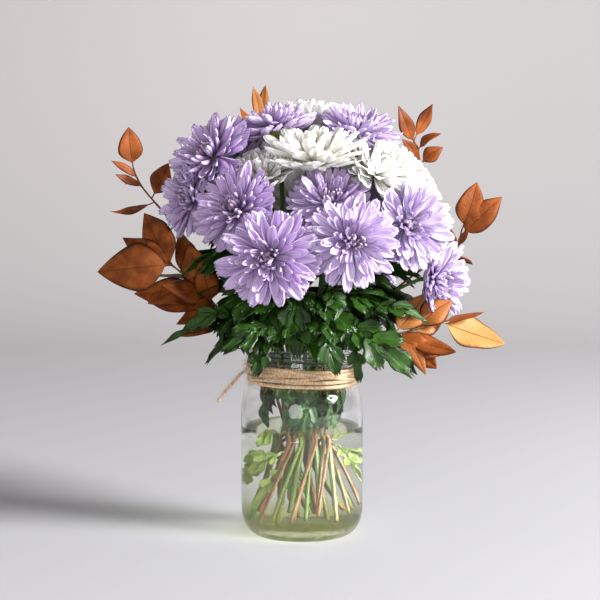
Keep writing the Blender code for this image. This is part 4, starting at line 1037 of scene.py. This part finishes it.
# Leaves left on the stems below the water line: base, tip, width, droop, face azimuth, face elevation.
SUNK_LEAVES = [
    ((-0.016, -0.018, 0.0835), (-0.033, -0.026, 0.0775), 0.013, 0.002, -100, 30),
    ((-0.014, -0.020, 0.0700), (-0.040, -0.016, 0.0520), 0.016, 0.002, -105, 25),
    ((-0.020, -0.014, 0.0650), (-0.042, -0.008, 0.0610), 0.013, 0.002, -110, 30),
    ((-0.012, -0.014, 0.0600), (-0.036, -0.018, 0.0240), 0.013, 0.002, -100, 10),
    ((-0.003, -0.004, 0.0560), (-0.006, 0.004, 0.0280), 0.014, 0.001, -90, 10),
    ((0.020, 0.004, 0.0740), (0.040, 0.002, 0.0430), 0.011, 0.002, -80, 15),
    ((0.024, 0.014, 0.0680), (0.036, 0.022, 0.0500), 0.012, 0.002, -60, 15),
    ((-0.022, 0.012, 0.0560), (-0.038, 0.016, 0.0360), 0.014, 0.002, -120, 15),
    ((0.006, 0.022, 0.0700), (0.004, 0.040, 0.0560), 0.014, 0.002, 80, 25),
]
NECK_LEAVES = 27
LOWEST_NECK_LEAF = 0.0905  # just above the water


def inside_glass(points):
    """Draws points in so that they stay clear of the jar's inner wall, shoulder and neck."""
    wide = np.linalg.norm(points[:, :2], axis=1)
    narrow = np.clip((points[:, 2] - SHOULDER_LOW) / (SHOULDER_TOP - SHOULDER_LOW), 0.0, 1.0)
    limit = (BODY_RADIUS - WALL - 0.0016) * (1 - narrow) + (NECK_RADIUS - WALL - 0.0012) * narrow
    drawn = np.array(points)
    drawn[:, :2] *= np.minimum(1.0, limit / np.maximum(wide, 1e-6))[:, None]
    return drawn


def make_leaves_in_jar(stems):
    """Leaves left on the stems inside the jar, in the air space and under water."""
    random = np.random.default_rng(41)
    hanging = []
    for number in range(NECK_LEAVES):
        turn = 360.0 * number * 4 / NECK_LEAVES + random.uniform(-10, 10) - 100
        out = toward(turn, 0.0)
        top = random.uniform(0.110, 0.150)
        start, end = out * random.uniform(0.020, 0.026), out * random.uniform(0.024, 0.033)
        swing = toward(turn + 90, 0.0) * random.uniform(-0.012, 0.012)
        low = max(LOWEST_NECK_LEAF, top - random.uniform(0.026, 0.036))
        hanging.append((start + (0, 0, top), end + swing + (0, 0, low), random.uniform(0.019, 0.027), 0.003,
                        turn + random.uniform(-30, 30), random.uniform(-10, 25)))
    for label, material, leaves in (("leaves_in_neck", GREEN, hanging), ("leaves_under_water", SUNK, SUNK_LEAVES)):
        shape = Shape()
        for number, leaf in enumerate(leaves):
            tone = random.uniform(0.0, 0.8)
            add_leaf(shape, leaf, stems, 300 + number, tone, tone, inside_glass)
        stand_in(shape.build(label, [material]), "green_leaf")


# ---------------------------------------------------------------- blooms
def floret_form(length, width, bend, tip_bend, cup, pointed):
    """One floret on its own axes: +Y out from the centre, +Z forward."""

    def place(t, u, skin):
        angle = bend * t + tip_bend * t**3
        fine = np.linspace(0, 1, 60)
        slope = (bend * fine + tip_bend * fine**3)[:-1]
        out, up = (np.interp(t, fine, np.concatenate([[0], np.cumsum(run)]) * length / len(slope))
                   for run in (np.cos(slope), np.sin(slope)))
        t = 1 - (1 - t)**1.35
        grow = 0.24 + 0.76 * np.clip(t / 0.74, 0, 1)**0.85
        end = np.sqrt(np.clip(1 - (np.clip(t - 0.72, 0, 1) / 0.295)**(3.4 - 1.6 * pointed), 0, 1))
        half = np.maximum(width / 2 * grow * end, width * 0.05)
        hollow = cup * half * (np.abs(u)**1.6 - 0.35) - 0.00022 * np.cos(math.pi * 2.0 * u) * (t > 0.1)
        notch = -0.045 * length * np.exp(-(u / 0.22)**2) * (t > 0.99) * (1 - pointed)
        thick = 0.00016 * (1 - u**2) * (t > 0) * (t < 1)
        rise = hollow + skin * thick
        return np.stack([u * half * (1 - 0.25 * cup), out + notch * np.cos(angle) - rise * np.sin(angle),
                         up + notch * np.sin(angle) + rise * np.cos(angle)], axis=-1)

    return blade_form(11, 6, place)


# From the heart outwards: length, width, bend, bend of the tip (radians), cupping.
LILAC_FLORETS = [
    (0.0082, 0.0023, 0.9, 1.0, 0.95), (0.0122, 0.0032, 0.5, 0.8, 0.90), (0.0172, 0.0049, 0.2, 0.65, 0.72),
    (0.0220, 0.0068, -0.05, 0.55, 0.60), (0.0256, 0.0082, -0.2, 0.4, 0.50), (0.0282, 0.0091, -0.3, 0.15, 0.42)]
WHITE_FLORETS = [
    (0.0140, 0.0044, 0.6, 0.7, 0.90), (0.0185, 0.0058, 0.4, 0.6, 0.76), (0.0222, 0.0074, 0.2, 0.5, 0.62),
    (0.0250, 0.0086, 0.0, 0.4, 0.50), (0.0276, 0.0094, -0.1, 0.3, 0.42), (0.0296, 0.0098, -0.2, 0.1, 0.34)]
BRACTS = [(0.0100, 0.0036, 0.45, 0.2, 0.5), (0.0085, 0.0034, 0.45, 0.2, 0.5)]


def shape_collection(name, sizes, pointed):
    """A collection, outside the scene, of one mesh object for each size."""
    collection = bpy.data.collections.new(name)
    for number, size in enumerate(sizes):
        points, faces, along, across = floret_form(*size, pointed)
        obj = piece_mesh(f"{name}_{number}", points, faces, [], {"along": along, "across": across})
        bpy.context.scene.collection.objects.unlink(obj)
        collection.objects.link(obj)
    return collection


class Geometry(Wiring):
    """A Geometry Nodes tree with named inputs."""

    def __init__(self, name):
        self.tree = bpy.data.node_groups.new(name, "GeometryNodeTree")
        self.tree.interface.new_socket("Geometry", in_out="INPUT", socket_type="NodeSocketGeometry")
        self.tree.interface.new_socket("Geometry", in_out="OUTPUT", socket_type="NodeSocketGeometry")
        self.keys = {}
        self.inputs = self.tree.nodes.new("NodeGroupInput")
        self.output = self.tree.nodes.new("NodeGroupOutput")

    def input(self, name, kind):
        made = self.tree.interface.new_socket(name, in_out="INPUT", socket_type="NodeSocket" + kind)
        self.keys[name] = made.identifier
        return self.inputs.outputs[name]

    def node(self, kind, settings=None, **values):
        made = self.tree.nodes.new(kind)
        for key, value in (settings or {}).items():
            setattr(made, key, value)
        for key, value in values.items():
            self.put(made.inputs[key.replace("_", " ")], value)
        return made

    def random(self, low, high, seed, offset):
        """A random number for each element. Each use of one seed has its own offset."""
        made = self.node("FunctionNodeRandomValue", {"data_type": "FLOAT"})
        self.put(made.inputs[2], low)
        self.put(made.inputs[3], high)
        self.put(made.inputs["Seed"], self.plus(seed, float(offset)))
        return made.outputs[1]

    def between(self, share, low, high):
        return self.math("MULTIPLY_ADD", share, self.math("SUBTRACT", high, low), low)

    def vector(self, x, y, z):
        return self.node("ShaderNodeCombineXYZ", X=x, Y=y, Z=z).outputs["Vector"]

    def stored(self, geometry, name, value):
        """The geometry with a value kept on each of its instances."""
        return self.node("GeometryNodeStoreNamedAttribute", {"data_type": "FLOAT", "domain": "INSTANCE"},
                         Geometry=geometry, Name=name, Value=value).outputs["Geometry"]

    def finish(self, instances, material, smooth=False):
        """Ends the tree with a real, painted mesh."""
        real = self.node("GeometryNodeRealizeInstances", Geometry=instances).outputs[0]
        if smooth:
            real = self.node("GeometryNodeSetShadeSmooth", Geometry=real).outputs[0]
        painted = self.node("GeometryNodeSetMaterial", Geometry=real, Material=material)
        self.tree.links.new(painted.outputs[0], self.output.inputs[0])
        return self


def rosette_tree():
    """Florets set at the golden angle on a small dome, upright in the middle and open outside."""
    g = Geometry("rosette")
    count, heart, dome = g.input("Florets", "Int"), g.input("Heart Radius", "Float"), g.input("Dome", "Float")
    inner, outer = g.input("Inner Tilt", "Float"), g.input("Outer Tilt", "Float")
    opening, jitter = g.input("Opening", "Float"), g.input("Tilt Jitter", "Float")
    size, seed = g.input("Size", "Float"), g.input("Seed", "Int")
    shapes, kinds = g.input("Shapes", "Collection"), g.input("Kinds", "Int")
    material = g.input("Material", "Material")
    index = g.node("GeometryNodeInputIndex").outputs["Index"]
    share = g.math("DIVIDE", g.plus(index, 0.5), count)
    age = g.math("SQRT", share)
    turn = g.plus(g.times(index, GOLDEN_ANGLE), g.random(-0.20, 0.20, seed, 1))
    reach = g.times(age, heart)
    place = g.vector(g.times(reach, g.math("COSINE", turn)), g.times(reach, g.math("SINE", turn)),
                     g.times(dome, g.math("SUBTRACT", 1.0, share)))
    points = g.node("GeometryNodePoints", Count=count, Position=place)
    tilt = g.between(g.math("POWER", age, opening), inner, outer)
    tilt = g.plus(tilt, g.times(jitter, g.random(-1.0, 1.0, seed, 2)))
    turned = g.vector(tilt, g.random(-0.45, 0.45, seed, 3), g.math("SUBTRACT", turn, math.pi / 2))
    ring = g.plus(g.math("POWER", share, 0.74), g.random(-0.07, 0.07, seed, 4))
    kind = g.math("FLOOR", g.times(ring, kinds))
    kind = g.math("MINIMUM", g.math("MAXIMUM", kind, 0.0), g.math("SUBTRACT", kinds, 1.0))
    source = g.node("GeometryNodeCollectionInfo", {"transform_space": "ORIGINAL"},
                    Collection=shapes, Separate_Children=True, Reset_Children=True)
    copies = g.node("GeometryNodeInstanceOnPoints", Points=points.outputs[0], Instance=source.outputs[0],
                    Pick_Instance=True, Instance_Index=kind, Rotation=turned,
                    Scale=g.times(size, g.random(0.86, 1.11, seed, 5)))
    held = g.stored(copies.outputs[0], "age", age)
    held = g.stored(held, "tone", g.random(0.0, 1.0, seed, 6))
    return g.finish(held, material, smooth=True)


def grown(host, geometry, values):
    """The plain mesh that a Geometry Nodes tree makes on a host object with these input values."""
    modifier = host.modifiers.new("Grow", "NODES")
    modifier.node_group = geometry.tree
    for key, value in values.items():
        modifier[geometry.keys[key]] = value
    mesh = bpy.data.meshes.new_from_object(host.evaluated_get(bpy.context.evaluated_depsgraph_get()))
    host.modifiers.remove(modifier)
    return mesh


def grown_alone(name, geometry, values):
    """The same, from nothing."""
    host = placed(name, bpy.data.meshes.new(name))
    mesh = grown(host, geometry, values)
    bpy.data.objects.remove(host, do_unlink=True)
    return mesh


def read(data, key, width):
    """What a mesh keeps on each point under this key, as a flat array of width numbers a point."""
    numbers = np.empty(len(data) * width, np.float32)
    data.foreach_get(key, numbers)
    return numbers


HELD_MARGIN = 0.004        # how far florets may stand past their head's solid before they are pressed back
HELD_GIVE = 0.6            # the share of the rest that they keep


def hold_in(mesh, node):
    """Presses florets that stand too far past a convex CAD solid's planes back toward it."""
    points = read(mesh.vertices, "co", 3).reshape(-1, 3).astype(float)
    planes = {}
    for polygon in frame["nodes"][node].data.polygons:
        normal = polygon.normal
        if polygon.area > 1e-8:
            planes[tuple(round(c, 2) for c in normal)] = (np.array(normal), np.array(normal.dot(polygon.center)))
    for normal, offset in planes.values():
        past = points @ normal - offset - HELD_MARGIN
        points = points - np.where(past > 0, past * (1 - HELD_GIVE), 0.0)[:, None] * normal
    mesh.vertices.foreach_set("co", points.astype(np.float32).reshape(-1))
    mesh.update()


# Heads that are fuller than the rest, that sit lower in their calyx, that open differently, and
# whose rosette nods further round, by this azimuth and elevation.
FULLER = {"lilac_bloom_1": 1.07, "lilac_bloom_3": 1.07, "lilac_bloom_4": 1.16, "lilac_bloom_9": 1.10,
          "lilac_bloom_10": 1.10, "white_bloom_2": 1.10, "white_bloom_4": 1.12}
SET_LOW = {"white_bloom_1": 0.0035}
OPENING = {"white_bloom_1": 0.72}
NODS = {"lilac_bloom_9": (-24, 0), "lilac_bloom_10": (-30, 5), "lilac_bloom_5": (14, 4)}
# A colour's florets: how many, the tilt of the outermost in degrees, how they open, and the radius
# that they reach before scaling.
HEADS = {"lilac": (142, -12, 1.25, 0.0300), "white": (124, 6, 1.1, 0.0280)}
PAINTED_LIGHT_FROM, PAINTED_LIGHT_OVER = -0.01, 0.09    # painted light: across the bouquet, heads nearer the window lamp are painted paler, as if more brightly lit
CALYX_PROFILE = [(0.0, 0.0122), (0.0030, 0.0118), (0.0058, 0.0102), (0.0066, 0.0080),
                 (0.0062, 0.0052), (0.0042, 0.0016), (0.0022, -0.0004), (0.0, -0.0006)]


def make_florets(index, bloom, place, rosette, shapes, finish):
    """A head's florets, on its calyx, held close to its solid."""
    name, colour, centre, _, _, petals, _ = bloom
    florets, outer, opening, reach = HEADS[colour]
    mesh = grown_alone(name, rosette, {
        "Florets": florets, "Heart Radius": 0.0062, "Dome": 0.0045,
        "Inner Tilt": math.radians(84), "Outer Tilt": math.radians(outer),
        "Opening": OPENING.get(name, opening), "Tilt Jitter": math.radians(10),
        "Size": petals * FULLER.get(name, 1.03) / reach, "Seed": 31 * index,
        "Shapes": shapes, "Kinds": 6, "Material": finish})
    tone_values_with_painted_light = mesh.attributes["tone"].data
    # painted light: heads nearer the window lamp get their tone raised, so their florets are painted paler, as if
    # lit more brightly
    painted_window_light = float(np.clip((centre[0] - PAINTED_LIGHT_FROM) / PAINTED_LIGHT_OVER, 0, 1))
    tone_values_with_painted_light.foreach_set("value", read(tone_values_with_painted_light, "value", 1) + painted_window_light)
    mesh.transform(Matrix.Translation((0, 0, SET_LOW.get(name, 0.0085))))
    mesh.transform(place)
    hold_in(mesh, name)
    stand_in(placed(name + "_florets", mesh), colour + "_petal", name)


def make_calyx(index, name, place, rosette, shapes):
    """The green cup under a head, with its overlapping bracts."""
    points, faces = turned_form(CALYX_PROFILE, 18)
    cup = piece_mesh(name + "_calyx", points, faces, [BRACT],
                     {key: np.full(len(points), value) for key, value in
                      (("along", 0.4), ("across", 0.5), ("tone", 0.3))})
    scales = grown_alone(name + "_bracts", rosette, {
        "Florets": 30, "Heart Radius": 0.0052, "Dome": -0.0028, "Inner Tilt": math.radians(10),
        "Outer Tilt": math.radians(52), "Opening": 1.0, "Tilt Jitter": math.radians(6), "Size": 0.95,
        "Seed": 7 * index, "Shapes": shapes, "Kinds": 2, "Material": BRACT})
    scales.transform(Matrix.Translation((0, 0, 0.0042)))
    joined = bmesh.new()
    for mesh in (cup.data, scales):
        mesh.transform(place)
        joined.from_mesh(mesh)
    joined.to_mesh(cup.data)
    joined.free()
    bpy.data.meshes.remove(scales)
    stand_in(cup, "stem")


def make_blooms():
    rosette = rosette_tree()
    shapes = {"lilac": shape_collection("lilac_floret", LILAC_FLORETS, 0.35),
              "white": shape_collection("white_floret", WHITE_FLORETS, 0.6),
              "bract": shape_collection("bract", BRACTS, 1.0)}
    finishes = {"lilac": LILAC, "white": WHITE}
    for index, bloom in enumerate(BLOOMS):
        name, colour, centre, azimuth, elevation, _, _ = bloom
        calyx = Vector(centre) - Vector(toward(azimuth, elevation)) * BLOOM_DEPTH
        spin = Matrix.Rotation(1.7 * index, 4, "Z")
        around, lift = NODS.get(name, (0, 0))
        nodded, upright = (
            Matrix.Translation(calyx) @ Vector(toward(*facing)).to_track_quat("Z", "Y").to_matrix().to_4x4() @ spin
            for facing in ((azimuth + around, elevation + lift), (azimuth, elevation)))
        make_florets(index, bloom, nodded, rosette, shapes[colour], finishes[colour])
        make_calyx(index, name, upright, rosette, shapes["bract"])
    for collection in shapes.values():
        for obj in list(collection.objects):
            bpy.data.objects.remove(obj, do_unlink=True)
        bpy.data.collections.remove(collection)


# ---------------------------------------------------------------- twine
TWINE_RADIUS = 0.0012
TWINE_TURNS = 6
TWINE_SPREAD = 0.0152      # from the lowest turn to the highest
TWINE_TILT = 0.0026        # how far the turns rise and fall round the neck: higher at the left
TWINE_CLEAR = 0.0002       # between the glass and the twine
TWINE_TAIL = [(-0.0462, -0.0060, 0.1325), (-0.0500, -0.0105, 0.1300), (-0.0555, -0.0150, 0.1245),
              (-0.0615, -0.0185, 0.1175), (-0.0672, -0.0210, 0.1105)]
# Strands that cross over the turns at the right front: how far round each is moved, in degrees, its
# starting height from the middle, its climb, and how its plies are turned.
CROSSINGS = [(0, 0.0060, -0.0125, 1.0), (55, -0.0050, 0.0110, 2.0)]


def ply_rope(shape, path, radius, lay, phase=0.0):
    """Adds three thin strands wound round each other along a path, a full turn for each lay."""
    reach = np.concatenate([[0], np.cumsum(np.linalg.norm(np.diff(path, axis=0), axis=1))])
    side, up = sideways_along(path)
    for ply in range(3):
        turn = math.tau * (reach / lay + ply / 3) + phase
        strand = path + radius * 0.56 * (np.cos(turn)[:, None] * side + np.sin(turn)[:, None] * up)
        swell = radius * 0.54 * (1 + 0.10 * np.sin(reach * 900 + ply * 2) + 0.06 * np.sin(reach * 2300 + ply))
        shape.add(*tube_form(strand, swell, 6)[:2])


def fuzz_tree():
    """Short bent fibres scattered over a surface, leaning along it."""
    g = Geometry("fuzz")
    count, length, seed = g.input("Density", "Float"), g.input("Length", "Float"), g.input("Seed", "Int")
    material = g.input("Material", "Material")
    scattered = g.node("GeometryNodeDistributePointsOnFaces", Mesh=g.inputs.outputs["Geometry"],
                       Density=count, Seed=seed)
    line = g.node("GeometryNodeCurvePrimitiveLine", End=(0.0, 0.0, 1.0))
    line_shape = g.node("GeometryNodeResampleCurve", Curve=line.outputs[0], Count=5)
    at = g.node("GeometryNodeSplineParameter").outputs["Factor"]
    bend = g.vector(g.times(g.times(at, at), 0.55), 0.0, 0.0)
    bent = g.node("GeometryNodeSetPosition", Geometry=line_shape.outputs[0], Offset=bend)
    ring = g.node("GeometryNodeCurvePrimitiveCircle", Resolution=3, Radius=0.018)
    hair = g.node("GeometryNodeCurveToMesh", Curve=bent.outputs[0], Profile_Curve=ring.outputs[0], Fill_Caps=True)
    lean = g.vector(g.random(-1.25, 1.25, seed, 1), g.random(-1.25, 1.25, seed, 2), g.random(0.0, math.tau, seed, 3))
    tip = g.node("FunctionNodeRotateRotation", {"rotation_space": "LOCAL"},
                 Rotation=scattered.outputs["Rotation"], Rotate_By=lean)
    copies = g.node("GeometryNodeInstanceOnPoints", Points=scattered.outputs["Points"],
                    Instance=hair.outputs[0], Rotation=tip.outputs[0],
                    Scale=g.times(length, g.random(0.3, 1.0, seed, 4)))
    return g.finish(copies.outputs[0], material)


def fibres_on(host, geometry, density, length, seed):
    """Fuzz on a piece of twine, as a piece of its own."""
    mesh = grown(host, geometry, {"Density": density, "Length": length, "Seed": seed, "Material": TWINE})
    return stand_in(placed(host.name + "_fuzz", mesh), "twine")


def smooth_curve(at, knots, values):
    """Values between knots, eased so that the curve has no corners."""
    place = np.clip(np.interp(at, knots, np.arange(len(knots))), 0, len(knots) - 1.001)
    low = place.astype(int)
    share = (1 - np.cos(math.pi * (place - low))) / 2
    return values[low] * (1 - share) + values[low + 1] * share


def make_twine():
    """The wound turns, two strands that cross them, and the free end, each with its fuzz."""
    fuzz = fuzz_tree()
    low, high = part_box("twine_wrap")
    middle = (low[2] + high[2]) / 2
    turn = np.arange(0, TWINE_TURNS * math.tau + 0.5, math.tau / 220) + math.radians(170)
    share = np.linspace(-0.5, 0.5, len(turn))
    random = np.random.default_rng(5)
    knots = np.linspace(turn[0], turn[-1], 40)
    wobble = smooth_curve(turn, knots, random.normal(0, 0.0009, 40))
    slack = smooth_curve(turn, knots, random.uniform(0, 0.0012, 40))
    radius = NECK_RADIUS + TWINE_RADIUS + TWINE_CLEAR + slack
    height = middle + share * TWINE_SPREAD + wobble + 0.0012 - np.cos(turn) * TWINE_TILT
    shape = Shape()
    ply_rope(shape, np.stack([radius * np.cos(turn), radius * np.sin(turn), height], axis=1),
             TWINE_RADIUS * 1.2, 0.0066)
    over = NECK_RADIUS + TWINE_RADIUS * 3.0 + TWINE_CLEAR
    for moved, start, climb, phase in CROSSINGS:
        turn = np.radians(np.linspace(-100, 40, 90)) - math.radians(moved)
        height = middle - np.cos(turn) * 0.0024 + start + climb * np.linspace(0, 1, 90)
        ply_rope(shape, np.stack([over * np.cos(turn), over * np.sin(turn), height], axis=1),
                 TWINE_RADIUS, 0.0062, phase)
    wrap = shape.build("wound_twine", [TWINE])
    stand_in(wrap, "twine", "twine_wrap")
    fibres_on(wrap, fuzz, 90000.0, 0.0062, 3)
    tail_path = smooth_through(TWINE_TAIL, 60)
    tail_shape = Shape()
    ply_rope(tail_shape, tail_path, TWINE_RADIUS, 0.0068)
    tail = tail_shape.build("twine_free_end", [TWINE])
    stand_in(tail, "twine", "twine_tail")
    frayed = fibres_on(tail, fuzz, 260000.0, 0.0042, 9)


# ---------------------------------------------------------------- studio
PAPER_HALF = 8.0           # half the width of the paper, and how far it runs toward the camera
SWEEP_START, SWEEP_RADIUS = 1.2, 0.9
PAPER_TOP = 4.0


def lamp(name, place, aim, size, power, colour=(1.0, 1.0, 1.0), mirrored=True):
    """A round soft lamp. Nothing glossy mirrors it where mirrored is False."""
    data = bpy.data.lights.new(name, "AREA")
    data.shape, data.size, data.energy, data.color = "DISK", size, power, colour
    obj = placed(name, data)
    obj.location = place
    obj.rotation_euler = (Vector(aim) - Vector(place)).to_track_quat("-Z", "Y").to_euler()
    obj.visible_glossy = mirrored


def make_studio():
    """A sheet of pale paper that sweeps up behind, with painted shade darkening it toward the right, and soft light.
    """
    paper = Finish("studio_paper", 0.9)
    near = paper.mix(paper.noise(0.8, 1.0), (0.336, 0.333, 0.347), (0.346, 0.343, 0.357))
    # painted shade: the paper behind is painted darker toward the right
    far = paper.mix(paper.spread(paper.axis("X"), -0.2, 0.7), (0.362, 0.344, 0.341), (0.292, 0.281, 0.279))
    paper.paint(paper.mix(paper.spread(paper.axis("Y"), 0.4, 2.0), near, far))
    paper.shader.inputs["Specular IOR Level"].default_value = 0.2
    profile = [(-PAPER_HALF, 0.0), (-1.0, 0.0), (0.0, 0.0), (0.9, 0.0)]
    profile += [(SWEEP_START + SWEEP_RADIUS * math.sin(a), SWEEP_RADIUS * (1 - math.cos(a)))
                for a in np.linspace(0, math.pi / 2, 13)]
    profile += [(SWEEP_START + SWEEP_RADIUS, PAPER_TOP)]
    points = [(x, y, z) for y, z in profile for x in (-PAPER_HALF, PAPER_HALF)]
    faces = [(2 * i, 2 * i + 1, 2 * i + 3, 2 * i + 2) for i in range(len(profile) - 1)]
    piece_mesh("studio_paper", points, faces, [paper.material])

    world = bpy.data.worlds.new("studio")
    world.use_nodes = True
    sky = world.node_tree.nodes["Background"].inputs
    sky["Color"].default_value = (1.0, 0.95, 0.958, 1.0)
    sky["Strength"].default_value = 0.48
    bpy.context.scene.world = world
    lamp("window_key", (2.59, -1.18, 1.43), (0.0, 0.0, 0.17), 1.05, 350.0, (0.985, 0.987, 1.0))
    lamp("front_fill", (-0.5, -2.4, 0.42), (0.0, 0.0, 0.26), 1.2, 30.0, mirrored=False)
    bpy.context.scene.view_settings.view_transform = "Standard"


routes = settled_routes()
stems = whole_stems(routes)
make_camera()
make_twine()
make_jar()
make_water()
make_stems(stems)
make_sprays(routes)
make_green_leaves(stems)
make_leaves_in_jar(stems)
make_blooms()
make_studio()
